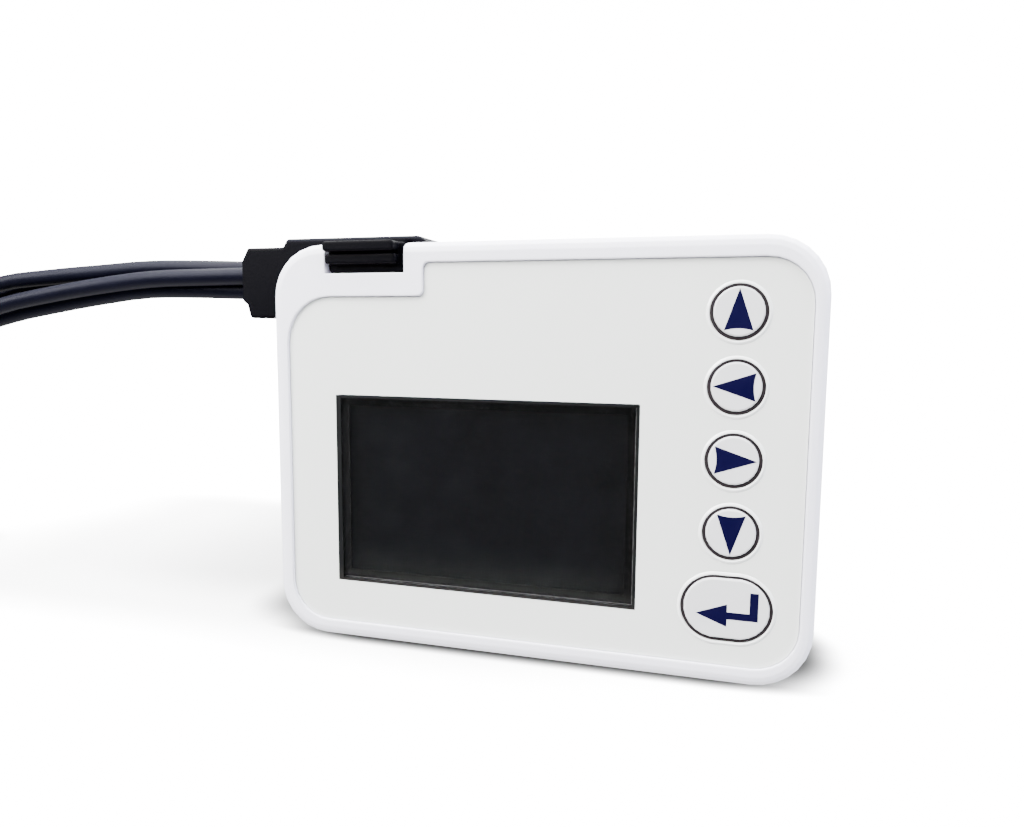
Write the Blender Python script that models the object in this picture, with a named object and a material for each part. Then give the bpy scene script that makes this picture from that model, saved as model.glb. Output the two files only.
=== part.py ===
"""Pocket ECG recorder with its plug-in lead set, in metres.

Seen from the front, X runs to the right, Y runs away from the viewer and Z runs up.
The recorder stands on its long lower edge. The origin is under the middle of the case.
"""

import math

import bmesh
import bpy
from mathutils import Matrix, Vector

# Case
CASE_WIDTH = 0.0710
CASE_HEIGHT = 0.0538
CASE_DEPTH = 0.0200
CORNER_RADIUS = 0.0070
FRONT_EDGE_RADIUS = 0.0013
REAR_EDGE_RADIUS = 0.0015
FRONT_WALL = 0.0018
REAR_WALL = 0.0018
SIDE_WALL = 0.0016
FRONT_HALF_DEPTH = 0.0090
PARTING_GAP = 0.0003

# Clearances
RUN_GAP = 0.0003
STACK_GAP = 0.0001
OVERRUN = 0.0010
SINK = 0.0003

# Front panel recess and the thin overlay in it
PANEL_LEFT_RIM = 0.0023
PANEL_RIGHT_RIM = 0.0017
PANEL_TOP_RIM = 0.0026
PANEL_BOTTOM_RIM = 0.0023
PANEL_CORNER = 0.0053
PANEL_NOTCH_CORNER = 0.0062
PANEL_STEP_CORNER = 0.0008
PANEL_DEPTH = 0.0007
OVERLAY_THICKNESS = 0.0003

# Thumb notch in the top edge, and the rim round it
NOTCH_LEFT_INSET = 0.0081
NOTCH_WIDTH = 0.0113
NOTCH_DEPTH = 0.0039
NOTCH_MOUTH_RADIUS = 0.0006
NOTCH_SIDE_RIM = 0.0026
NOTCH_FLOOR_RIM = 0.0030

# Display window and the module behind it
WINDOW_LEFT_INSET = 0.00955
WINDOW_KEY_GAP = 0.00818
WINDOW_BASE = 0.00827
WINDOW_TOP_INSET = 0.01998
WINDOW_CORNER = 0.0002
WINDOW_LEDGE = 0.0010
LENS_THICKNESS = 0.0008
LENS_SINK = 0.0001
GLASS_MARGIN = 0.0012
GLASS_THICKNESS = 0.0011
BACKLIGHT_THICKNESS = 0.0010
HOLDER_WALL = 0.0009
HOLDER_DEPTH = 0.0026
FLEX_WIDTH = 0.0140
FLEX_THICKNESS = 0.0002
FLEX_DROP = 0.0022

# Keys
KEY_INSET = 0.00994
KEY_TOP_INSET = 0.00884
KEY_WEB = 0.00291
ROUND_KEYS = 4
KEY_RING = 0.00036
KEY_RISE = 0.00030
KEY_EDGE = 0.00020
KEY_TRAVEL = 0.00040
KEY_FLANGE = 0.0005
KEY_FLANGE_THICKNESS = 0.0007
KEY_STEM_RADIUS = 0.0010
ENTER_INSET = 0.01012
ENTER_HEIGHT = 0.00951
ENTER_WEB = 0.00269
ENTER_RADIUS = 0.00373
ENTER_HALF_STRAIGHT = 0.00127
SWITCH_SIDE = 0.0042
SWITCH_HEIGHT = 0.0005
SWITCH_CORNER = 0.0004
DOME_RADIUS = 0.0014
DOME_HEIGHT = 0.0003

# Main board and what is on it
BOARD_THICKNESS = 0.0010
BOARD_FRONT = 0.0047
BOARD_LEFT_INSET = 0.0077
BOARD_RIGHT_INSET = 0.0069
BOARD_EDGE_INSET = 0.0024
BOARD_CORNER = 0.0006
POST_RADIUS = 0.0012
CHIP_LEAD = 0.0003
PROCESSOR_SIDE = 0.0090
PROCESSOR_HEIGHT = 0.0011
AMPLIFIER_SIDE = 0.0065
AMPLIFIER_HEIGHT = 0.0010
MEMORY_WIDTH = 0.0080
MEMORY_HEIGHT = 0.0060
MEMORY_THICKNESS = 0.0010
CRYSTAL_LENGTH = 0.0060
CRYSTAL_WIDTH = 0.0024
CRYSTAL_THICKNESS = 0.0016
BUZZER_RADIUS = 0.0045
BUZZER_HEIGHT = 0.0030
BUZZER_HOLE_RADIUS = 0.0010
BUZZER_HOLE_DEPTH = 0.0012
CELL_RADIUS = 0.0034
CELL_HEIGHT = 0.0021
CHIP_TUB_GAP = 0.0012
CHIP_SIDE_GAP = 0.0014
CRYSTAL_INSET = 0.0052
BUZZER_INSET = 0.0166
BUZZER_DROP = 0.0064

# Screws that hold the halves together, and their bosses
BOSS_RADIUS = 0.0020
SCREW_RADIUS = 0.0007
SCREW_HEAD_RADIUS = 0.0014
SCREW_HEAD_HEIGHT = 0.0010
SCREW_SINK = 0.0016
SCREW_BITE = 0.0045
SCREW_SLOT = 0.0004
BOSS_INSET = 0.0042
BOSS_LOW = 0.0056
BOSS_BAY_DROP = 0.0040

# Battery, its bay and its sliding door
CELL_AAA_LENGTH = 0.0445
CELL_AAA_RADIUS = 0.00525
CELL_AAA_RIM = 0.0006
CELL_NUB_RADIUS = 0.0019
CELL_NUB_HEIGHT = 0.0008
BATTERY_HEIGHT = 0.0130
BATTERY_BAY_END_INSET = 0.0025
BAY_PLATE_ROOM = 0.0007
CONTACT_THICKNESS = 0.0003
CONTACT_SIDE = 0.0080
CONTACT_DIMPLE_RADIUS = 0.0015
CONTACT_DIMPLE = 0.0004
SPRING_ROOM = 0.0040
SPRING_WIRE_RADIUS = 0.00030
SPRING_WIDE_RADIUS = 0.0034
SPRING_NARROW_RADIUS = 0.0022
SPRING_TURNS = 3.5
SPRING_TURN_STEPS = 10
TUB_WALL = 0.0010
DOOR_THICKNESS = 0.0015
DOOR_TONGUE = 0.0007
DOOR_TONGUE_THICKNESS = 0.0006
DOOR_GRIPS = 5
DOOR_GRIP_WIDTH = 0.0008
DOOR_GRIP_PITCH = 0.0017
DOOR_GRIP_DEPTH = 0.0004
DOOR_GRIP_LENGTH = 0.0075
DOOR_GRIP_INSET = 0.0060

# Corner bay for the lead plug, and the plug
BAY_DEPTH = 0.0101
BAY_WALL = 0.0012
BAY_FRONT_WALL = 0.0017
PLUG_JUT = 0.0060
PLUG_EXIT_LOW_DROP = 0.0074
PLUG_EXIT_HIGH_DROP = 0.0019
PLUG_FOOT_JUT = 0.0048
PLUG_FOOT_LEAN = 0.0005
PLUG_HEAD_JUT = 0.0050
PLUG_SHOULDER = 0.0001
PLUG_SHOULDER_X_GAP = 0.0006
PLUG_PLATE_RISE = 0.0010
PLUG_PLATE_GAP = 0.0002
PLUG_PLATE_SLOPE = 0.0006
PLUG_PLATE_OVERHANG = 0.0023
PLUG_PLATE_END_SLOPE = 0.0010
PLUG_CORNER = 0.0005
PLUG_EDGE = 0.0003
GRIP_SINK = 0.0008
GRIP_EDGE = 0.0002
RIB_RISE = 0.0011
LOWER_RIB_RISE = 0.0004
RIB_HEIGHT = 0.0013
RIB_PITCH = 0.0016
RIB_END_INSET = 0.0007
GRIP_GAP = 0.0002
TONGUE_WIDTH = 0.0090
TONGUE_THICKNESS = 0.0013
TONGUE_LENGTH = 0.0050
TONGUE_SEAT = 0.0015
TONGUE_INSET = 0.0135
TONGUE_FROM_BOARD = 0.0030
PIN_COUNT = 5
PIN_PITCH = 0.0016
PIN_WIDTH = 0.0009
PIN_THICKNESS = 0.00015
PIN_LENGTH = 0.0034
SOCKET_WALL = 0.0005
SOCKET_ROOM = 0.0005
SOCKET_DEPTH = 0.0058
SOCKET_BASE = 0.0010
SOCKET_TOP_GAP = 0.0003

# Leads, and the tied hank of their unseen length
LEAD_RADIUS = 0.00125
LEAD_SIDES = 2
LEAD_POINTS = 16
HANK_NEAR_X = -0.1160
HANK_FAR_X = -0.1800
HANK_MID_Y = -0.0030
HANK_WIDTH = 0.0280
HANK_HEIGHT = 0.0202
HANK_EDGE = 0.0020
TIE_WIDTH = 0.0080
TIE_THICKNESS = 0.0009
SNAP_RADIUS = 0.0053
SNAP_HEIGHT = 0.0044
SNAP_SIDES = 20
SNAP_EDGE = 0.0006
SNAP_BORE_RADIUS = 0.0019
SNAP_BORE_DEPTH = 0.0022
SNAP_TAIL_LENGTH = 0.0047
SNAP_TAIL_WIDTH = 0.0034
SNAP_TAIL_END_WIDTH = 0.0026
SNAP_FIRST_INSET = 0.0230
SNAP_MIDDLE_INSET = 0.0370
SNAP_LAST_INSET = 0.0505
SNAP_FRONT_SPREAD = 0.0070
SNAP_REAR_SPREAD = 0.0080
SNAP_MIDDLE_SPREAD = 0.0007

# The route of each lead from the plug to the top of the near end of the hank
LEAD_ROUTES = (
    (
        (-0.04185, -0.0047, 0.0501), (-0.0509, -0.0047, 0.0500), (-0.0597, -0.0047, 0.0498),
        (-0.0690, -0.0047, 0.0489), (-0.0786, -0.0048, 0.0476), (-0.0887, -0.0049, 0.0458),
        (-0.0985, -0.0063, 0.0422), (-0.1070, -0.0092, 0.0370), (-0.1145, -0.0128, 0.0310),
        (-0.1200, -0.0151, 0.0259), (-0.1245, -0.0156, 0.0214),
    ),
    (
        (-0.04185, -0.0029, 0.0480), (-0.0524, -0.0027, 0.0483), (-0.0615, -0.0026, 0.0483),
        (-0.0693, -0.0025, 0.0475), (-0.0793, -0.0023, 0.0461), (-0.0895, -0.0023, 0.0443),
        (-0.0988, -0.0031, 0.0414), (-0.1070, -0.0050, 0.0362), (-0.1143, -0.0066, 0.0305),
        (-0.1198, -0.0072, 0.0258), (-0.1245, -0.0072, 0.0214),
    ),
    (
        (-0.04185, -0.0019, 0.0511), (-0.0530, -0.0019, 0.0515), (-0.0620, -0.0020, 0.0516),
        (-0.0712, -0.0022, 0.0511), (-0.0809, -0.0024, 0.0505), (-0.0910, -0.0026, 0.0495),
        (-0.1010, -0.0032, 0.0464), (-0.1095, -0.0040, 0.0410), (-0.1160, -0.0044, 0.0342),
        (-0.1206, -0.0044, 0.0274), (-0.1245, -0.0044, 0.0214),
    ),
    (
        (-0.04185, 0.0008, 0.0502), (-0.0550, 0.0007, 0.0503), (-0.0643, 0.0006, 0.0503),
        (-0.0738, 0.0004, 0.0499), (-0.0836, 0.0001, 0.0492), (-0.0930, 0.0001, 0.0476),
        (-0.1020, 0.0006, 0.0436), (-0.1098, 0.0010, 0.0380), (-0.1158, 0.0012, 0.0318),
        (-0.1204, 0.0012, 0.0263), (-0.1245, 0.0012, 0.0214),
    ),
    (
        (-0.04185, 0.0034, 0.0489), (-0.0571, 0.0033, 0.0489), (-0.0665, 0.0031, 0.0488),
        (-0.0762, 0.0028, 0.0482), (-0.0863, 0.0029, 0.0470), (-0.0958, 0.0036, 0.0456),
        (-0.1025, 0.0048, 0.0433), (-0.1100, 0.0070, 0.0379), (-0.1166, 0.0088, 0.0311),
        (-0.1245, 0.0096, 0.0214),
    ),
)

# Smoothness
CORNER_STEPS = 7
EDGE_STEPS = 3
ROUND_SIDES = 24
SMALL_ROUND_SIDES = 12
PIECE_NAME = "ecg_recorder"
CUTTER_NAME = "cutters"

# Places that follow from the sizes above
LEFT = -CASE_WIDTH / 2
RIGHT = CASE_WIDTH / 2
FRONT = -CASE_DEPTH / 2
REAR = CASE_DEPTH / 2
FRONT_INSIDE = FRONT + FRONT_WALL
REAR_INSIDE = REAR - REAR_WALL
PARTING = FRONT + FRONT_HALF_DEPTH
REAR_START = PARTING + PARTING_GAP
NOTCH_LEFT = LEFT + NOTCH_LEFT_INSET
NOTCH_RIGHT = NOTCH_LEFT + NOTCH_WIDTH
NOTCH_FLOOR = CASE_HEIGHT - NOTCH_DEPTH
PANEL_FLOOR = FRONT + PANEL_DEPTH
OVERLAY_BACK = PANEL_FLOOR - STACK_GAP / 2
OVERLAY_FACE = OVERLAY_BACK - OVERLAY_THICKNESS
LENS_FACE = OVERLAY_FACE + LENS_SINK
LENS_BACK = LENS_FACE + LENS_THICKNESS
GLASS_FACE = FRONT_INSIDE + STACK_GAP
GLASS_BACK = GLASS_FACE + GLASS_THICKNESS
BACKLIGHT_FACE = GLASS_BACK + STACK_GAP
BACKLIGHT_BACK = BACKLIGHT_FACE + BACKLIGHT_THICKNESS
HOLDER_BACK = GLASS_FACE + HOLDER_DEPTH
KEY_X = RIGHT - KEY_INSET
ENTER_X = RIGHT - ENTER_INSET
KEY_TOP = CASE_HEIGHT - KEY_TOP_INSET
KEY_PITCH = (KEY_TOP - ENTER_HEIGHT - ENTER_RADIUS - ENTER_WEB + KEY_WEB / 2) / (ROUND_KEYS - 1 / 2)
KEY_RADIUS = (KEY_PITCH - KEY_WEB) / 2
WINDOW_LEFT = LEFT + WINDOW_LEFT_INSET
WINDOW_RIGHT = KEY_X - KEY_RADIUS - WINDOW_KEY_GAP
WINDOW_TOP = CASE_HEIGHT - WINDOW_TOP_INSET
KEY_FACE = OVERLAY_FACE - KEY_RISE
BOARD_FACE = FRONT + BOARD_FRONT
BOARD_BACK = BOARD_FACE + BOARD_THICKNESS
BOARD_LEFT = LEFT + BOARD_LEFT_INSET
BOARD_RIGHT = RIGHT - BOARD_RIGHT_INSET
BOARD_TOP = CASE_HEIGHT - BOARD_EDGE_INSET
BAY_RIGHT = NOTCH_RIGHT
BAY_FLOOR = CASE_HEIGHT - BAY_DEPTH
BAY_UNDERSIDE = BAY_FLOOR - BAY_WALL
BATTERY_BAY_RIGHT = RIGHT - BATTERY_BAY_END_INSET
BATTERY_RIGHT = BATTERY_BAY_RIGHT - BAY_PLATE_ROOM - CELL_NUB_HEIGHT
BATTERY_LEFT = BATTERY_RIGHT - CELL_AAA_LENGTH + CELL_NUB_HEIGHT
BATTERY_BAY_LEFT = BATTERY_LEFT - SPRING_ROOM
BATTERY_BAY_BASE = BATTERY_HEIGHT - CELL_AAA_RADIUS - RUN_GAP
BATTERY_BAY_TOP = BATTERY_HEIGHT + CELL_AAA_RADIUS + RUN_GAP
DOOR_BACK = REAR - DOOR_THICKNESS
BATTERY_Y = DOOR_BACK - RUN_GAP - CELL_AAA_RADIUS
BATTERY_BAY_FRONT = BATTERY_Y - CELL_AAA_RADIUS - RUN_GAP
DOOR_LEFT = BATTERY_BAY_LEFT - TUB_WALL
DOOR_BASE = BATTERY_BAY_BASE - RUN_GAP
DOOR_TOP = BATTERY_BAY_TOP + RUN_GAP
TONGUE_X = LEFT + TONGUE_INSET
TONGUE_Y = BOARD_BACK + TONGUE_FROM_BOARD
PLUG_BASE = BAY_FLOOR + RUN_GAP
PLUG_FRONT = FRONT + BAY_FRONT_WALL + RUN_GAP
PLUG_RIGHT = BAY_RIGHT - RUN_GAP
PLUG_LEFT = LEFT - PLUG_JUT
PLUG_TOP = CASE_HEIGHT + PLUG_PLATE_RISE
PLUG_EXIT_LOW = CASE_HEIGHT - PLUG_EXIT_LOW_DROP
PLUG_EXIT_HIGH = CASE_HEIGHT - PLUG_EXIT_HIGH_DROP

# Which way each axis of a flat outline points, and along which way it is thickened
STANDING = ("X", "Z")
FLAT = ("X", "Y")
SIDEWAYS = ("Y", "Z")


def clear_scene():
    for item in list(bpy.data.objects):
        bpy.data.objects.remove(item, do_unlink=True)


def new_collection(name):
    group = bpy.data.collections.new(name)
    bpy.context.scene.collection.children.link(group)
    return group


clear_scene()
PIECES = new_collection(PIECE_NAME)
CUTTERS = new_collection(CUTTER_NAME)
CUTTERS.hide_render = True


def material(name, colour, roughness, metallic=0.0, alpha=1.0):
    made = bpy.data.materials.new(name)
    made.use_nodes = True
    shader = made.node_tree.nodes["Principled BSDF"]
    shader.inputs["Base Color"].default_value = (*colour, 1.0)
    shader.inputs["Roughness"].default_value = roughness
    shader.inputs["Metallic"].default_value = metallic
    shader.inputs["Alpha"].default_value = alpha
    return made


SHELL_WHITE = material("shell_white", (0.80, 0.79, 0.83), 0.45)
OVERLAY_GREY = material("overlay_grey", (0.74, 0.74, 0.71), 0.5)
KEY_GREY = material("key_grey", (0.74, 0.74, 0.73), 0.45)
WINDOW_CLEAR = material("window_clear", (0.03, 0.03, 0.035), 0.08, alpha=0.5)
LCD_DARK = material("lcd_dark", (0.02, 0.022, 0.025), 0.15)
LIGHT_GUIDE = material("light_guide", (0.8, 0.8, 0.78), 0.4)
HOLDER_BLACK = material("holder_black", (0.02, 0.02, 0.02), 0.6)
FLEX_AMBER = material("flex_amber", (0.45, 0.22, 0.04), 0.4)
BOARD_GREEN = material("board_green", (0.02, 0.14, 0.06), 0.45)
CHIP_BLACK = material("chip_black", (0.015, 0.015, 0.017), 0.5)
BRIGHT_METAL = material("bright_metal", (0.72, 0.72, 0.72), 0.25, 1.0)
GOLD_METAL = material("gold_metal", (0.83, 0.62, 0.25), 0.25, 1.0)
CELL_BLUE = material("cell_blue", (0.05, 0.12, 0.32), 0.35)
PLUG_BLACK = material("plug_black", (0.014, 0.013, 0.017), 0.5)
LEAD_BLACK = material("lead_black", (0.012, 0.012, 0.02), 0.3)
TIE_GREY = material("tie_grey", (0.10, 0.10, 0.11), 0.8)


def add_object(name, mesh, look=None, group=None):
    """Puts a mesh in the scene, as a piece with its material or as a hidden cutter."""
    made = bpy.data.objects.new(name, mesh)
    (group or PIECES).objects.link(made)
    if look is not None:
        mesh.materials.clear()
        mesh.materials.append(look)
    else:
        made.hide_render = True
        made.display_type = "WIRE"
    return made


def from_bmesh(name, bm, look=None):
    bmesh.ops.recalc_face_normals(bm, faces=bm.faces)
    mesh = bpy.data.meshes.new(name)
    bm.to_mesh(mesh)
    bm.free()
    return add_object(name, mesh, look, PIECES if look else CUTTERS)


def smooth(made, angle=35):
    made.data.shade_smooth()
    made.data.set_sharp_from_angle(angle=math.radians(angle))
    return made


def rounded_box(name, low, high, look=None, corner=0.0, near=0.0, far=0.0, axis=1, steps=CORNER_STEPS):
    """A box from low to high. Its four edges along axis are rounded by corner, and the loops of edges
    round its near and far ends by near and far."""
    bm = bmesh.new()
    bmesh.ops.create_cube(bm, size=1.0)
    low, high = Vector(low), Vector(high)
    bmesh.ops.scale(bm, vec=high - low, verts=bm.verts)
    bmesh.ops.translate(bm, vec=(low + high) / 2, verts=bm.verts)
    middle = ((low + high) / 2)[axis]
    if corner:
        along = [e for e in bm.edges if (e.verts[0].co[axis] - middle) * (e.verts[1].co[axis] - middle) < 0]
        bevel(bm, along, corner, steps)
    for radius, side in ((near, -1), (far, 1)):
        if radius:
            ends = [e for e in bm.edges if all((v.co[axis] - middle) * side > 0 for v in e.verts)]
            bevel(bm, ends, radius, EDGE_STEPS)
    return from_bmesh(name, bm, look)


def bevel(bm, edges, width, steps):
    bmesh.ops.bevel(
        bm, geom=edges, offset=width, offset_type="OFFSET", segments=steps, profile=0.5,
        affect="EDGES", clamp_overlap=True, material=-1,
    )


def cylinder(name, centre, radius, start, end, look=None, axis="Y", sides=ROUND_SIDES, end_radius=None):
    """A round bar along an axis, from start to end, with its middle line through centre."""
    bm = bmesh.new()
    bmesh.ops.create_cone(
        bm, cap_ends=True, segments=sides, radius1=radius,
        radius2=radius if end_radius is None else end_radius, depth=end - start,
    )
    turn = {
        "X": Matrix.Rotation(math.radians(90), 4, "Y"),
        "Y": Matrix.Rotation(math.radians(-90), 4, "X"),
        "Z": Matrix.Identity(4),
    }[axis]
    bmesh.ops.transform(bm, matrix=turn, verts=bm.verts)
    place = Vector(centre)
    place["XYZ".index(axis)] = (start + end) / 2
    bmesh.ops.translate(bm, vec=place, verts=bm.verts)
    return from_bmesh(name, bm, look)


def boolean(target, tool, operation):
    step = target.modifiers.new(f"{operation.lower()} {tool.name}", "BOOLEAN")
    step.operation = operation
    step.solver = "EXACT"
    step.object = tool
    return target


def cut(target, *tools):
    for tool in tools:
        boolean(target, tool, "DIFFERENCE")
    return target


def join(target, *tools):
    for tool in tools:
        boolean(target, tool, "UNION")
    return target


def rounded(corners, steps=CORNER_STEPS):
    """Points of a closed outline. Each corner is (across, up, radius), and a radius of 0 keeps it sharp."""
    points = []
    count = len(corners)
    for index, (across, up, radius) in enumerate(corners):
        here = Vector((across, up))
        before = Vector(corners[index - 1][:2]) - here
        after = Vector(corners[(index + 1) % count][:2]) - here
        if not radius:
            points.append(here)
            continue
        before.normalize()
        after.normalize()
        half = before.angle(after) / 2
        reach = radius / math.tan(half)
        middle = here + (before + after).normalized() * (radius / math.sin(half))
        start = here + before * reach - middle
        turn = math.pi - 2 * half
        side = 1 if before.x * after.y - before.y * after.x < 0 else -1
        for step in range(steps + 1):
            swing = side * turn * step / steps
            points.append(middle + Matrix.Rotation(swing, 2) @ start)
    return points


def circle(across, up, radius, sides=ROUND_SIDES):
    return stadium(across, up, radius, 0.0, sides)


def stadium(across, up, radius, half_straight, sides=ROUND_SIDES):
    """Points of an outline with two straight sides and two round ends."""
    points = []
    for step in range(sides):
        angle = 2 * math.pi * (step + 0.5) / sides
        shift = math.copysign(half_straight, math.cos(angle))
        points.append(Vector((across + shift + radius * math.cos(angle), up + radius * math.sin(angle))))
    return points


def box_outline(left, right, base, top, radius=0.0):
    return [(left, base, radius), (right, base, radius), (right, top, radius), (left, top, radius)]


def plate(name, outlines, start, end, look=None, plane=STANDING):
    """A flat filled curve, thickened from start to end across its plane. Inner outlines are holes."""
    curve = bpy.data.curves.new(name, "CURVE")
    curve.dimensions = "2D"
    curve.fill_mode = "BOTH"
    curve.extrude = (end - start) / 2
    for outline in outlines:
        spline = curve.splines.new("POLY")
        spline.points.add(len(outline) - 1)
        spline.use_cyclic_u = True
        for point, (across, up) in zip(spline.points, outline):
            point.co = (across, up, 0.0, 1.0)
    holder = bpy.data.objects.new(name, curve)
    PIECES.objects.link(holder)
    across, up = (Vector([float(axis == letter) for letter in "XYZ"]) for axis in plane)
    away = across.cross(up)
    middle = (start + end) / 2
    through = Vector([float(letter not in plane) for letter in "XYZ"])
    frame = Matrix((across, up, away)).transposed().to_4x4()
    frame.translation = through * middle
    holder.matrix_world = frame
    return meshed(holder, look)


def meshed(holder, look=None):
    """Turns a curve object into a closed mesh, in world space, and removes the curve."""
    bpy.context.view_layer.update()
    name = holder.name
    graph = bpy.context.evaluated_depsgraph_get()
    mesh = bpy.data.meshes.new_from_object(holder.evaluated_get(graph))
    mesh.transform(holder.matrix_world)
    bpy.data.objects.remove(holder, do_unlink=True)
    bm = bmesh.new()
    bm.from_mesh(mesh)
    bpy.data.meshes.remove(mesh)
    bmesh.ops.remove_doubles(bm, verts=bm.verts, dist=WELD)
    return from_bmesh(name, bm, look)


WELD = 0.000002


def round_rims(made, width, axis=1, steps=EDGE_STEPS, ends=(-1, 1)):
    """Rounds the rims of a plate: the loops of edges round its two flat faces, which lie across axis."""
    bm = bmesh.new()
    bm.from_mesh(made.data)
    bmesh.ops.dissolve_limit(
        bm, angle_limit=math.radians(1), use_dissolve_boundaries=False, verts=bm.verts, edges=bm.edges,
    )
    places = [v.co[axis] for v in bm.verts]
    middle = (min(places) + max(places)) / 2
    edges = [
        e for e in bm.edges
        if any(all((v.co[axis] - middle) * side > 0 for v in e.verts) for side in ends)
    ]
    bevel(bm, edges, width, steps)
    bm.to_mesh(made.data)
    bm.free()
    return made


# Case halves

BOSSES = (
    (LEFT + BOSS_INSET, BOSS_LOW),
    (LEFT + BOSS_INSET, BAY_UNDERSIDE - BOSS_BAY_DROP),
    (RIGHT - BOSS_INSET, KEY_TOP - (ROUND_KEYS - 1 - 1 / 2) * KEY_PITCH),
    (RIGHT - BOSS_INSET, CASE_HEIGHT - BOSS_INSET),
)
KEYS = {
    "button_up": (KEY_X, KEY_TOP, KEY_RADIUS, 0.0),
    "button_left": (KEY_X, KEY_TOP - KEY_PITCH, KEY_RADIUS, 0.0),
    "button_right": (KEY_X, KEY_TOP - 2 * KEY_PITCH, KEY_RADIUS, 0.0),
    "button_down": (KEY_X, KEY_TOP - 3 * KEY_PITCH, KEY_RADIUS, 0.0),
    "button_enter": (ENTER_X, ENTER_HEIGHT, ENTER_RADIUS, ENTER_HALF_STRAIGHT),
}


def panel_outline(inset=0.0):
    """The recess in the front face: it steps down on the left to go round the thumb notch."""
    left = LEFT + PANEL_LEFT_RIM + inset
    right = RIGHT - PANEL_RIGHT_RIM - inset
    base = PANEL_BOTTOM_RIM + inset
    top = CASE_HEIGHT - PANEL_TOP_RIM - inset
    step_across = NOTCH_RIGHT + NOTCH_SIDE_RIM + inset
    step_up = NOTCH_FLOOR - NOTCH_FLOOR_RIM - inset
    corner = PANEL_CORNER - inset
    return rounded([
        (left, base, corner),
        (right, base, corner),
        (right, top, corner),
        (step_across, top, PANEL_STEP_CORNER),
        (step_across, step_up, PANEL_STEP_CORNER + inset),
        (left, step_up, PANEL_NOTCH_CORNER - inset),
    ])


def notch_tool(name, start, end):
    """Cuts the thumb notch, whose mouth is rounded where it meets the top of the case."""
    top = CASE_HEIGHT + OVERRUN
    flare = NOTCH_MOUTH_RADIUS
    corners = [
        (NOTCH_LEFT, NOTCH_FLOOR, 0.0),
        (NOTCH_RIGHT, NOTCH_FLOOR, 0.0),
        (NOTCH_RIGHT, CASE_HEIGHT, flare),
        (NOTCH_RIGHT + 2 * flare, CASE_HEIGHT, 0.0),
        (NOTCH_RIGHT + 2 * flare, top, 0.0),
        (NOTCH_LEFT - 2 * flare, top, 0.0),
        (NOTCH_LEFT - 2 * flare, CASE_HEIGHT, 0.0),
        (NOTCH_LEFT, CASE_HEIGHT, flare),
    ]
    return plate(name, [rounded(corners, EDGE_STEPS)], start, end)


def bay_walls(name, start, end):
    """The L of two walls that close the plug's corner bay off from the inside of the case."""
    corners = [
        (LEFT + SIDE_WALL / 2, BAY_UNDERSIDE, 0.0),
        (BAY_RIGHT + BAY_WALL, BAY_UNDERSIDE, 0.0),
        (BAY_RIGHT + BAY_WALL, CASE_HEIGHT - SIDE_WALL / 2, 0.0),
        (BAY_RIGHT, CASE_HEIGHT - SIDE_WALL / 2, 0.0),
        (BAY_RIGHT, BAY_FLOOR, 0.0),
        (LEFT + SIDE_WALL / 2, BAY_FLOOR, 0.0),
    ]
    return plate(name, [rounded(corners)], start, end)


def cavity(name, start, end):
    low = (LEFT + SIDE_WALL, start, SIDE_WALL)
    high = (RIGHT - SIDE_WALL, end, CASE_HEIGHT - SIDE_WALL)
    return rounded_box(name, low, high, corner=CORNER_RADIUS - SIDE_WALL, steps=EDGE_STEPS)


def bay_tool(name, start, end):
    low = (LEFT - OVERRUN, start, BAY_FLOOR)
    high = (BAY_RIGHT, end, CASE_HEIGHT + OVERRUN)
    return rounded_box(name, low, high)


def tongue_slot(name):
    """Lets the plug's tongue through the floor of the corner bay."""
    half = TONGUE_WIDTH / 2 + RUN_GAP
    low = (TONGUE_X - half, TONGUE_Y - TONGUE_THICKNESS / 2 - RUN_GAP, BAY_UNDERSIDE - OVERRUN)
    high = (TONGUE_X + half, TONGUE_Y + TONGUE_THICKNESS / 2 + RUN_GAP, BAY_FLOOR + OVERRUN)
    return rounded_box(name, low, high)


def round_set(name, places, radius, start, end, sides=ROUND_SIDES):
    """Several round bars along Y as one tool."""
    bm = bmesh.new()
    for across, up in places:
        made = bmesh.ops.create_cone(
            bm, cap_ends=True, segments=sides, radius1=radius, radius2=radius, depth=end - start,
        )
        bmesh.ops.rotate(bm, matrix=Matrix.Rotation(math.radians(90), 3, "X"), verts=made["verts"])
        bmesh.ops.translate(bm, vec=(across, (start + end) / 2, up), verts=made["verts"])
    return from_bmesh(name, bm)


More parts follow.
